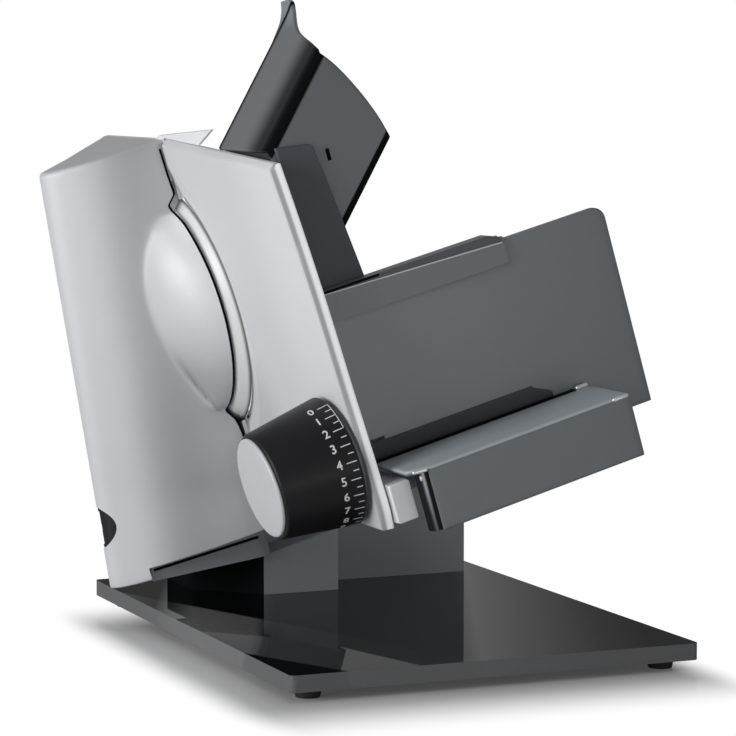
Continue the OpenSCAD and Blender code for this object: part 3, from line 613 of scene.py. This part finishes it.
def frontFace(n, u, tipN):
    # flat by the blade, then a quarter ellipse to the tip, minus the dome that stands out in front
    q = np.clip((n - hs["flatN"]) / (tipN - hs["flatN"]), 0, 1)
    flat = hs["tipY"] + (hs["frontY"] - hs["tipY"]) * np.sqrt(np.maximum(1 - q * q, 0))
    flat = flat + np.clip((n - hs["flatN"]) / 17, 0, 1)
    t, rise = domeAcross(n, u)
    lo, hi = dm["arcFrom"], dm["arcTo"]
    base = math.sqrt(1 - lo * lo)
    full = math.sqrt(1 - hi * hi) - base
    arc = (np.sqrt(1 - np.clip(lo - (lo - hi) * np.clip(t, 0, 1.1), 0, 1) ** 2) - base) / full
    slope = (lo - hi) * lo / base / full
    height = rise * np.where(t > 0, arc, slope * t)
    k = dm["blend"] * np.clip(rise / 8, 0, 1)
    return flat - (height + np.sqrt(height ** 2 + 4 * k * k)) / 2


tip = tipAt(hu)
frontN = rimEdge(hu) + (tip - rimEdge(hu)) * np.sin(np.linspace(0, 1, 112)[None, :] * math.pi / 2)
frontYs = frontFace(frontN, hu, tip)
back = np.linspace(0, 1, 10)[None, 1:-1]
rearN = tip + (hs["rearN"] - tip) * back
rearY = hs["tipY"] + (hs["rear"] - hs["tipY"]) * back + 0 * hu
across = np.linspace(0, 1, 56)[None, :]
capY = hs["rear"] + (frontYs[:, :1] + 1.2 - hs["rear"]) * across
# food side: a dish for the blade, with bays for bearing plate, gear, shaft collar, shaft, motor and wiring
baySet = {"dishR": [0, 63.0, 70.4, 73.9, 78.6, 79.6], "dishN": [-11.6, -11.6, -9.5, -7.2, -3.0, -3.0],
          "plateR": 64, "plateN": -15.2, "round": ((49, -27.2), (15, -30.2), (11, -43.7)),
          "motorAt": (-6.0, -52.5), "motorR": 26, "motorN": -57.2, "wiringN": -60.2}
rho = np.hypot(capY - bladeY, hu)
capN = np.interp(rho, baySet["dishR"], baySet["dishN"])
lowerBay = (capY > -34) & (capY < 36) & (hu > -136) & (hu < -40)
capN = np.where((rho < baySet["plateR"]) | lowerBay, np.minimum(capN, baySet["plateN"]), capN)
for bayR, bayN in baySet["round"]:
    capN = np.where(rho < bayR, bayN, capN)
motorRho = np.hypot(capY - baySet["motorAt"][0], hu - baySet["motorAt"][1])
capN = np.where(motorRho < baySet["motorR"], baySet["motorN"], capN)
capN = np.where((capY > -24) & (capY < 22) & (hu > -130) & (hu < -86), baySet["wiringN"], capN)
capN = np.where((across > 0.985) & (rho < 90), np.minimum(capN, rimEdge(hu) - 0.6), capN)
loopN = np.concatenate([frontN, rearN, capN], 1)
loopY = np.concatenate([frontYs, rearY, capY], 1)
# round the top and bottom edges: near them the loop shrinks towards the middle of the section
reach = np.concatenate([np.ones(frontN.shape[1] + rearN.shape[1]), np.zeros(capN.shape[1])])[None, :]
fall = np.maximum(hs["edge"] - (hs["top"] - hu), 0)
fallLow = np.maximum(hs["lowEdge"] - (hu - hs["bottom"]), 0)
inset = (hs["edge"] - np.sqrt(np.maximum(hs["edge"] ** 2 - fall ** 2, 0))
         + hs["lowEdge"] - np.sqrt(np.maximum(hs["lowEdge"] ** 2 - fallLow ** 2, 0)))
toN, toY = hs["midN"] - loopN, hs["midY"] - loopY
shrink = hs["pull"] * inset * reach / np.hypot(toN, toY)
points = head(loopN + shrink * toN, loopY + shrink * toY, hu)
housing = makePiece("housingSkin", points, tubeFaces(*loopN.shape), "frame", "silver_paint",
                    stands=("motor_housing",), sharp=hs["sharp"])

# on/off button and its bezel, flush with the nose: both follow the nose's surface a little inside it
buttonSet = {"y": -9.0, "u": -112.5, "r": 10.9, "gap": 0.35, "bezel": 13.5, "hole": 13.8, "bore": 11.3,
             "sink": {"buttonSkin": 1.1, "buttonBezel": 0.5}, "inner": {"buttonSkin": -86.0, "buttonBezel": -95.6},
             "count": 72}
bs = buttonSet
cutAway(housing, [boxCutter((-86, -60, -170), (5, 95, -144)), rodCutter(-130, -95, bs["y"], bs["u"], bs["hole"]),
                  rodCutter(-96, -82, bs["y"], bs["u"], bs["bore"])], hs["sharp"])
paintTone(housing, housingTone)
print("housing made:", len(housing.data.polygons), "faces")


def noseSurface(y, u):
    tipN = tipAt(u)
    drop = np.clip((hs["tipY"] - y) / (hs["tipY"] - hs["frontY"]), 0, 1)
    front = hs["flatN"] + (tipN - hs["flatN"]) * np.sqrt(1 - drop * drop)
    rear = tipN + (hs["rearN"] - tipN) * (y - hs["tipY"]) / (hs["rear"] - hs["tipY"])
    return np.where(y < hs["tipY"], front, rear)


def nosePiece(name, radii, body, stands=()):
    # rings on the nose's surface, closed by the same rings on a flat inner end
    a = fullTurn(bs["count"])[None, :]
    y = bs["y"] + radii[:, None] * np.cos(a)
    u = bs["u"] + radii[:, None] * np.sin(a)
    outer = np.stack([noseSurface(y, u) + bs["sink"][name], y, u], -1)
    inner = outer[::-1].copy()
    inner[..., 0] = bs["inner"][name]
    loops = [outer, inner] if radii[0] == 0 else [outer, inner, outer[:1]]
    ring = np.concatenate(loops)
    faces = gridQuads(len(ring), bs["count"], True).tolist()
    makePiece(name, toWorld(ring), faces, body, "black_plastic", stands=stands)


nosePiece("buttonSkin", np.linspace(0.0, bs["r"], 9), "switch", ("switch_button",))
nosePiece("buttonBezel", np.linspace(bs["r"] + bs["gap"], bs["bezel"], 5), "frame")

# painted shade: a thin black tube on the food-side edge of the housing's front stands for the dark gap there
gapShadeSet = {"r": 1.1, "outN": 0.75, "inY": 0.9, "count": 10}
su = np.concatenate([np.linspace(107, 80, 12), np.linspace(79, 64, 30), np.linspace(62, -54, 60),
                     np.linspace(-56, -82, 40), np.linspace(-84, -108, 10)])[:, None]
a = fullTurn(gapShadeSet["count"])
sn = rimEdge(su) + gapShadeSet["outN"] + gapShadeSet["r"] * np.cos(a)
sy = frontFace(rimEdge(su), su, tipAt(su)) + gapShadeSet["inY"] + gapShadeSet["r"] * np.sin(a)
makePiece("gapShadeTube", head(sn, sy, su), tubeFaces(*sn.shape), "frame", "foot_rubber", deepBlack)

# blade: the profile turned about its axis, its outer rim painted darker as the shade in the gap beside the plate
bladeOutline = [[4, -9.6], [63.5, -9.6], [70, -8.7], [73.2, -6.6], [76.6, -2.3], [77.9, -0.4], [78, 0], [76.4, 0],
                [72.1, -5.7], [69.5, -7.5], [63.5, -8.3], [4, -8.3]]
bladePiece = turnedPiece("bladeDisc", bladeOutline, 0.25, 3, (bladeY, 0), 240, "blade_unit", "blade_steel",
                         ("blade",), sharp=30)
paintTone(bladePiece, lambda n, y, u: -0.75 * softStep(np.hypot(y - bladeY, u), 76.7, 77.6))

# thickness plate: rear edge to front edge at each height, thinner towards the blade, pocket round the dial
plateSet = {"thick": 6.0, "round": 0.38, "bottom": -116.0, "rearHeight": 228.0, "frontHeight": 217.0, "rear": -40.5,
            "arc": 79.5, "taper": 102.0, "lip": 0.8, "pocket": 35.5, "pocketSoft": 1.2, "depth": 1.5, "bevel": 2.5,
            "crest": 2.4, "crestHeight": 3.0, "slot": (17.0, 7.5), "sharp": 40}
ps = plateSet


def plateFront(u):
    # the plate's front edge leans back towards its top
    return curve(u, [-116, -106, -86, -34, 24, 71, 101], [-245.5, -247.2, -246.4, -241.4, -236, -229, -223.2])


# extra rows and columns carry the painted highlight and shade lines near the edges
tRow = np.sort(np.concatenate([edgeSpread(ps["rearHeight"], ps["round"], 120), [0.985, 0.9865]]))[:, None]
sCol = np.sort(np.concatenate([edgeSpread(205, ps["round"], 110), [0.024, 0.026],
                               np.arange(0.974, 0.9985, 0.0025)]))[None, :]
rearU = ps["bottom"] + ps["rearHeight"] * tRow
rearYs = np.minimum(ps["rear"], bladeY - np.sqrt(np.maximum(ps["arc"] ** 2 - rearU ** 2, 0)))
frontU = ps["bottom"] + ps["frontHeight"] * tRow
frontEdge = plateFront(frontU)
py = rearYs + (frontEdge - rearYs) * sCol
pu = rearU + (frontU - rearU) * sCol
fullRise = ps["thick"] - ps["lip"]
cone = -ps["lip"] - (np.hypot(py - bladeY, pu) - ps["arc"]) / (ps["taper"] - ps["arc"]) * fullRise
bevel = -ps["lip"] - (py - frontEdge) / ps["bevel"] * fullRise
crest = -ps["crest"] - (1 - tRow) * 222 / ps["crestHeight"] * (ps["thick"] - ps["crest"])
fall = np.maximum(np.maximum(cone, bevel), crest) + ps["thick"]
low = -ps["thick"] + (fall + np.sqrt(fall ** 2 + 0.03)) / 2
dialRho = np.hypot(py - knobPlace[0], pu - knobPlace[1])
low = low + ps["depth"] * (1 - softStep(dialRho, ps["pocket"] - ps["pocketSoft"], ps["pocket"] + ps["pocketSoft"]))
plate = sheetPiece("plateSkin", low / 2, py, pu, -low, ps["round"], "gauge", None, ("gauge_plate",), "silver_paint",
                   np.array([1.0, 0.0, 0.0]), ps["sharp"])
cutAway(plate, [boxCutter((-20, knobPlace[0] - ps["slot"][0], knobPlace[1] - ps["slot"][1]),
                          (5, knobPlace[0] + ps["slot"][0], knobPlace[1] + ps["slot"][1]))], ps["sharp"])


def plateTone(n, y, u):
    # painted light and shade: a painted highlight on the front edge with a painted shade line beside it, a painted
    # shadow line at the rim next to the blade, a lighter painted band on the slope, painted shade at the heel, and a
    # field painted lighter towards the front and darker low at the rear
    away = y - plateFront(u)
    rim = np.hypot(y - bladeY, u)
    field = 0.10 + 0.15 * softStep(-y, 130, 215) - 0.20 * softStep(-u, 10, 60) * (1 - softStep(-y, 95, 140))
    inner = softStep(away, 1.0, 1.7)
    edge = field + (0.66 - field) * (1 - inner)
    line = -0.62 * inner * (1 - softStep(away, 2.4, 6.0)) * (n < -0.5)
    shade = np.where((rim < 84.0) & (u < 78) & (u > -70), -0.60, 0.0)
    slope = 0.10 * softStep(rim, 84.5, 85.5) * (1 - softStep(rim, 98, 101))
    heel = np.where((u < -58) & (y > -47), -0.45, 0.0)
    return edge + line + shade + slope + heel


paintTone(plate, plateTone)
turnedPiece("plateCollar", [[26, -16], [30, -16], [30, -4.6], [26, -4.6]], 0.4, 3, knobPlace, 96, "gauge",
            "silver_paint")
print("plate and blade made")

# knob: barrel and cap turned about the dial axis
knobSet = {"n": -9.0, "len": 48.0, "r": 39.0, "cap": 29.8, "step": 2.2, "chamfer": 1.2, "soft": 0.7, "bore": 3.0}
ks = knobSet
end = ks["n"] - ks["len"]
endR = ks["cap"] + ks["step"]
barrelOutline = [[ks["bore"], end], [ks["cap"] + 1.0, end], [endR, end + ks["chamfer"]],
                 [ks["r"], ks["n"] - ks["chamfer"]], [ks["r"] - ks["chamfer"], ks["n"]], [30.1, ks["n"]],
                 [30.1, ks["n"] - 20], [27.8, end + 5], [ks["bore"], end + 5]]
capOutline = [[0, end + 0.02], [ks["cap"], end + 0.02], [ks["cap"], end - 1.6], [ks["cap"] - 1.2, end - 2.4],
              [0, end - 2.8]]
turnedPiece("knobSkin", barrelOutline, ks["soft"], 4, knobPlace, 160, "knob", "black_plastic", ("knob_barrel",))
turnedPiece("capSkin", capOutline, ks["soft"], 4, knobPlace, 160, "knob", "cap_grey", ("knob_cap",), closed=False)

# dial marks on the barrel's cone: angle from the top towards the operator, 15.2 degrees a millimetre
dialSet = {"first": 21.0, "step": 15.2, "last": 20, "digitN": -21.4, "digitH": 5.2, "digitR": 37.5, "lift": 0.10,
           "longTick": -17.2, "shortTick": -14.6, "tickEnd": -11.2, "tickHalf": 0.45, "arc": (-10.9, -10.5)}
ds = dialSet


def onCone(n, angle, lift):
    share = (n - end - ks["chamfer"]) / (ks["len"] - 2 * ks["chamfer"])
    r = endR + (ks["r"] - endR) * share + lift
    a = np.radians(angle)
    return head(n, knobPlace[0] - r * np.sin(a), knobPlace[1] + r * np.cos(a))


markPoints, markFaces, markCount = [], [], 0
for value in range(ds["last"] + 1):
    text = bpy.data.curves.new("digit", "FONT")
    text.body = str(value)
    text.align_x = "CENTER"
    text.align_y = "CENTER"
    text.extrude = 0.01
    text.offset = 0.018
    holder = bpy.data.objects.new("digit", text)
    scene.collection.objects.link(holder)
    flat = bpy.data.meshes.new_from_object(holder.evaluated_get(bpy.context.evaluated_depsgraph_get()))
    bpy.data.objects.remove(holder)
    xyz = np.empty(len(flat.vertices) * 3)
    flat.vertices.foreach_get("co", xyz)
    xyz = xyz.reshape(-1, 3) * ds["digitH"] / 0.7
    squeeze = 0.72 if value > 9 else 0.92
    digitAngle = ds["first"] + ds["step"] * value - np.degrees(xyz[:, 1] / ds["digitR"])
    markPoints.append(onCone(ds["digitN"] + xyz[:, 0] * squeeze, digitAngle, ds["lift"] + xyz[:, 2] * 0.4))
    markFaces += [[markCount + i for i in poly.vertices] for poly in flat.polygons]
    markCount += len(xyz)
# a tick at each half millimetre, and a thin arc that closes the ends of the first ticks
tickRows = [(t, ds["shortTick" if t % 1 else "longTick"], ds["tickEnd"], ds["tickHalf"])
            for t in np.arange(0, ds["last"] + 0.5, 0.5)]
tickRows += [(t, *ds["arc"], 0.051 * ds["step"]) for t in np.arange(0.05, 2.0, 0.1)]
tickAt, lo, hi, half = np.array(tickRows).T[:, :, None]
tickN = lo + (hi - lo) * boxCorners[:, 0]
tickAngle = ds["first"] + ds["step"] * tickAt + half * (2 * boxCorners[:, 1] - 1)
markPoints.append(onCone(tickN, tickAngle, ds["lift"] * (0.4 + 0.6 * boxCorners[:, 2])).reshape(-1, 3))
tickFaces = np.array(boxFaces) + markCount + len(boxCorners) * np.arange(len(tickAt))[:, None, None]
markFaces += tickFaces.reshape(-1, 4).tolist()
makePiece("dialMarks", np.concatenate(markPoints), markFaces, "knob", "black_plastic", dialWhite)
print("knob and dial made")

# food holder's shield: one bent sheet; across it w runs from the panel's free edge over the bend to the
# flap's rear edge, along it r runs up the slope, and q is square to the slope
shieldSet = {"thick": 3.0, "bend": 6.0, "q": 75.6, "panelY": -207.2, "free": 12.7, "rear": -125.0, "horn": -107.0,
             "round": 1.2, "blackEdge": (16.6, 17.4), "curl": 0.006, "curlFrom": 160.0}
ss = shieldSet
bendMid = ss["bend"] - ss["thick"] / 2
qTop = ss["q"] - ss["bend"]
yFold = ss["panelY"] + ss["bend"]
flapY = np.concatenate([np.linspace(yFold, ss["rear"], 40)[1:], np.linspace(ss["rear"] + 0.15, ss["horn"], 14)])
panelQ = ss["free"] + (qTop - ss["free"]) * edgeSpread(57, ss["round"], 30)
panelQ = np.sort(np.concatenate([panelQ, ss["blackEdge"]]))
arcA = np.linspace(0, math.pi / 2, 10)[1:]
wq = np.concatenate([panelQ, qTop + bendMid * np.sin(arcA), np.full(len(flapY), qTop + bendMid)])
wy = np.concatenate([np.full(len(panelQ), ss["panelY"] + ss["thick"] / 2), yFold - bendMid * np.cos(arcA), flapY])
rHorn = curve(wy, [-125, -122, -116, -107], [145, 156, 166, 174.9])
rLow = np.where(wy > ss["rear"] + 0.1, rHorn, wq + 1.8)
rPanel = curve(ss["q"] - wq, [0, 13.9, 26.9, 39.5, 51.6, 62.9], [141.2, 139.1, 135.6, 131.2, 125.9, 119.6])
rFlap = curve(wy, [-207.2, -183, -167, -153, -141, -131, -124.5, -107],
              [141.3, 148.0, 152, 156.5, 163, 170.5, 175.2, 175.6])
rHigh = rPanel + (rFlap - rPanel) * softStep(wy, ss["panelY"] + 1.6, yFold + 2)
r = rLow + (rHigh - rLow) * edgeSpread(70, ss["round"], 44)[:, None]
q = wq + ss["curl"] * np.maximum(r - ss["curlFrom"], 0) ** 2
shield = sheetPiece("shieldSkin", (r - q) / math.sqrt(2), wy, (r + q) / math.sqrt(2), ss["thick"], ss["round"],
                    "food_holder", stands=("holder_shield",))


def shieldTone(n, y, u):
    # painted shade: a black sweep on the flap next to the bend, a black free edge of the panel and a thin black rear
    # edge; painted light makes the flap lighter towards its top end
    q = (u - n) / math.sqrt(2)
    onPanel = y < ss["panelY"] + ss["thick"] + 0.6
    core = np.maximum(1 - softStep(y, -198, -188), 0.92 * (1 - softStep(y, -190, -162)))
    sweep = np.where(onPanel & (q < qTop + 2), 0.0, core)
    free = np.where(onPanel, 1 - softStep(q, *ss["blackEdge"]), 0.0)
    rear = softStep(y, -129.5, -128.0) * (y < -124)
    black = np.clip(np.maximum(np.maximum(sweep, free), rear), 0, 1)
    plain = np.where(onPanel, -0.18, -0.18 + 0.55 * softStep((u + n) / math.sqrt(2), 154, 168))
    return plain + (-0.97 - plain) * black


paintTone(shield, shieldTone)

# carriage wall: a flat sheet with one rounded upper corner and a step at the lower left
wallSet = {"y": -215.0, "thick": 4.0, "left": 3.0, "stepLeft": 20.0, "stepU": -70.0, "right": 192.0, "top": 17.0,
           "bottom": -106.0, "corner": 8.0, "round": 0.9}
ws = wallSet
wallHigh = ws["top"] - ws["bottom"]
wu = np.concatenate([ws["bottom"] + wallHigh * edgeSpread(wallHigh, ws["round"], 40),
                     [ws["stepU"] - 0.1, ws["stepU"] + 0.1], np.linspace(8.5, ws["top"], 16)])
wu = np.unique(np.round(wu, 4))[:, None]
intoCorner = np.maximum(wu - ws["top"] + ws["corner"], 0)
corner = ws["corner"] - np.sqrt(np.maximum(ws["corner"] ** 2 - intoCorner ** 2, 0))
wLeft = np.where(wu > ws["stepU"], ws["left"], ws["stepLeft"])
wn = wLeft + (ws["right"] - corner - wLeft) * edgeSpread(ws["right"] - ws["left"], ws["round"], 50)[None, :]
wall = sheetPiece("wallSkin", wn, ws["y"] + ws["thick"] / 2, wu, ws["thick"], ws["round"], "carriage",
                  stands=("carriage_wall",))
# painted light: the wall is painted lighter towards its left end
paintTone(wall, lambda n, y, u: 0.30 * (1 - n / ws["right"]))

# thumb ledge: shelf, bend and apron as one sheet along the profile
ledgeSet = {"top": -83.0, "front": -270.0, "thick": 3.0, "bend": 2.6, "apron": -121.0, "left": 9.0, "apronLeft": 20.0,
            "right": 153.0, "round": 1.1}
ls = ledgeSet
lFront = ls["front"] + ls["bend"]
lMid = ls["bend"] - ls["thick"] / 2
bendTop = ls["top"] - ls["bend"]
shelfAt = edgeSpread(52, ls["round"], 26)[::-1]
bendAt = np.linspace(0, math.pi / 2, 12)[1:-1]
apronAt = edgeSpread(31, ls["round"], 22)[::-1]
ly = np.concatenate([lFront + (ws["y"] - lFront) * shelfAt, lFront - lMid * np.sin(bendAt),
                     np.full(len(apronAt), lFront - lMid)])[:, None]
lu = np.concatenate([np.full(len(shelfAt), ls["top"] - ls["thick"] / 2), bendTop + lMid * np.cos(bendAt),
                     ls["apron"] + (bendTop - ls["apron"]) * apronAt])[:, None]
lLeft = ls["left"] + (ls["apronLeft"] - ls["left"]) * softStep(-ly, -lFront - 6, -lFront)
ln = lLeft + (ls["right"] - lLeft) * edgeSpread(140, ls["round"], 40)[None, :]
ledge = sheetPiece("ledgeSkin", ln, ly, lu, ls["thick"], ls["round"], "carriage", stands=("carriage_ledge",))
# painted light and shade: the shelf is painted darker by the wall and lighter towards its front
paintTone(ledge, lambda n, y, u: np.where(u > -84.2, 0.70 + 0.90 * softStep(-y, 216, 236), -0.02))

# shiny black end of the apron: a wavy quarter round from the apron's left edge to the rear, with one painted
# highlight streak down its middle that fades towards the bottom
apronSet = {"n": 20.3, "wideN": 5.6, "deepY": 7.5, "wave": 0.8, "bottom": -120.5, "height": 36.0, "thick": 1.8,
            "round": 0.8}
aps = apronSet
ea = np.linspace(0, math.pi / 2, 28)[None, :]
eu = (aps["bottom"] + aps["height"] * edgeSpread(aps["height"], aps["round"], 20))[:, None]
ey = lFront - lMid + aps["deepY"] * (1 - np.cos(ea)) + aps["wave"] * np.sin(6 * ea)
apronEnd = sheetPiece("apronEnd", aps["n"] - aps["wideN"] * np.sin(ea), ey, eu, aps["thick"], aps["round"], "carriage")


def apronTone(n, y, u):
    return -0.93 + 2.7 * np.exp(-((n - 16.6) / 0.75) ** 2) * (0.3 + 0.7 * softStep(u, -116, -90))


paintTone(apronEnd, apronTone)

# dark band over the ledge: a dark sheet that paints the shade in the wall's sunk finger space; its right end slopes
bandSet = {"left": 8.0, "wide": 122.0, "bottom": -82.6, "top": -72.2, "out": 0.15, "thick": 0.7, "round": 0.3}
bandN = bandSet["left"] + bandSet["wide"] * edgeSpread(bandSet["wide"], bandSet["round"], 30)[None, :]
bandU = np.linspace(bandSet["bottom"], bandSet["top"], 12)[:, None]
bandN = bandN - 12 * softStep(bandU, -80, bandSet["top"]) * (bandN > 80) * (bandN - 80) / 50
sheetPiece("ledgeShadeBand", bandN, ws["y"] - bandSet["out"], bandU, bandSet["thick"], bandSet["round"], "carriage",
           shadeSlate)

# small parts: a black strip that paints the shade in the gap along the back of the ledge, and bright steel beads that
# paint the highlights at the ledge's corners and on the apron
strip("ledgeGapShade", (9.5, -220.5, -83.05), (143, -215.05, -82.5), "carriage", deepBlack)
for glint in (("ledgeGlintRear", (145.0, -218.6, -82.2), (150.5, -218.6, -82.2), 1.5),
            ("ledgeGlintFront", (143.0, -268.9, -83.9), (150.8, -268.9, -83.9), 1.3),
            ("ledgeGlintLeft", (12.0, -268.2, -83.6), (18.6, -269.2, -83.9), 1.3),
            ("apronGlint", (15.6, -267.1, -87.6), (15.6, -267.1, -89.2), 0.9)):
    rod(*glint, "carriage", "screw_steel", glintSteel)
# a black rod that paints the shadow over the tray, a lip behind the blade's lower rim, the knob's spindle and the slot
# in the shield
rod("trayShadowLine", (-81.5, -25.0, -147.3), (-10.5, -25.0, -150.4), 0.9, "frame", "foot_rubber", deepBlack)
strip("guardLip", (0.3, -52.0, -82.0), (1.1, -14.0, -66.5), "frame", slotName="silver_paint")
rod("spindleRod", (end + 3.0, *knobPlace), (-13.0, *knobPlace), 2.9, "knob", "screw_steel", stands=("knob_spindle",),
    count=48)
strip("shieldSlot", (34.2, -207.5, 91.5), (36.4, -207.0, 98.5), "food_holder", deepBlack)

# saddle's front: a dark trim that paints the shade of its top over a thin painted highlight line that falls to the
# right, and a nose towards the plate
saddleSet = {"left": 3.2, "right": 122.0, "join": 12.4, "top": 21.9, "trimTop": 21.8, "endFrom": 114.0, "endFall": 0.42}
sd = saddleSet
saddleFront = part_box("holder_saddle")[0][1] * 1000 - headOrigin[1] * 1000
trimN = np.linspace(sd["left"], sd["right"], 44)[None, :]
lineU = 20.0 - (trimN - 9.6) * 4.4 / 112
trimTop = np.minimum(sd["trimTop"], sd["trimTop"] - (trimN - sd["endFrom"]) * sd["endFall"])
trimU = lineU + (trimTop - lineU) * np.linspace(0.12, 1, 8)[:, None]
sheetPiece("saddleShadeTrim", trimN, saddleFront - 0.12, trimU, 0.5, 0.2, "food_holder", saddleShadeSlate)
strip("saddleNose", (sd["left"], saddleFront, 3.0), (sd["join"], saddleFront + 2.4, sd["top"]), "food_holder")
strip("saddleCrown", (sd["left"], saddleFront + 2.3, 17.4), (sd["join"], saddleFront + 12.0, sd["top"]),
      "food_holder")
rod("saddleHighlightLine", (3.6, saddleFront - 0.1, 20.3), (121.6, saddleFront - 0.1, 15.6), 0.42, "food_holder",
    "slate_plastic", dialWhite)
strip("saddlePatch", (sd["left"], saddleFront - 0.6, 20.5), (42, saddleFront - 0.05, 21.95), "food_holder",
      deepBlack)
print("carriage and holder made")

# rounded edges on the plain CAD pieces, width in mm
bevels = {"glass_base_plate": 1.0, "base_feet": 0.8, "pedestal": 1.2, "chassis": 1.2, "chassis_tray": 1.6,
          "rail_end_cap": 0.9, "carriage_rail": 0.6, "gauge_bracket": 0.6, "holder_saddle": 0.7, "holder_strap": 0.8,
          "press_plate": 0.6, "carriage_floor": 0.8, "carriage_shoe": 0.6, "blade_guard": 0.5}
for name, width in bevels.items():
    obj = nodes[name]
    weld = obj.modifiers.new("weld", "WELD")
    weld.merge_threshold = 2e-5
    bev = obj.modifiers.new("edge", "BEVEL")
    bev.width = width / 1000.0
    bev.segments = 3
    bev.limit_method = "ANGLE"
    bev.angle_limit = math.radians(40)

# CAD pieces with their own finish: lighter copies paint light onto the rail end cap, blade guard, tray, pedestal and
# chassis, a dark copy paints shade on the press plate, and the strap is a darker slate
ownFinish = {"holder_strap": strapSlate, "press_plate": shadeSlate, "rail_end_cap": litSilver,
             "blade_guard": litSilver, "chassis_tray": litSlate, "pedestal": litSlate, "chassis": litSlate}
for name, finish in ownFinish.items():
    nodes[name].data.materials[0] = finish
# painted shade: the pedestal's left side, under the head, gets a matt near-black copy of its material
pedestal = nodes["pedestal"].data
pedestal.materials.append(shadedSide)
facing = np.empty(len(pedestal.polygons) * 3)
pedestal.polygons.foreach_get("normal", facing)
pedestal.polygons.foreach_set("material_index", (facing.reshape(-1, 3)[:, 0] < -0.4).astype(np.int32))
print("edges rounded")
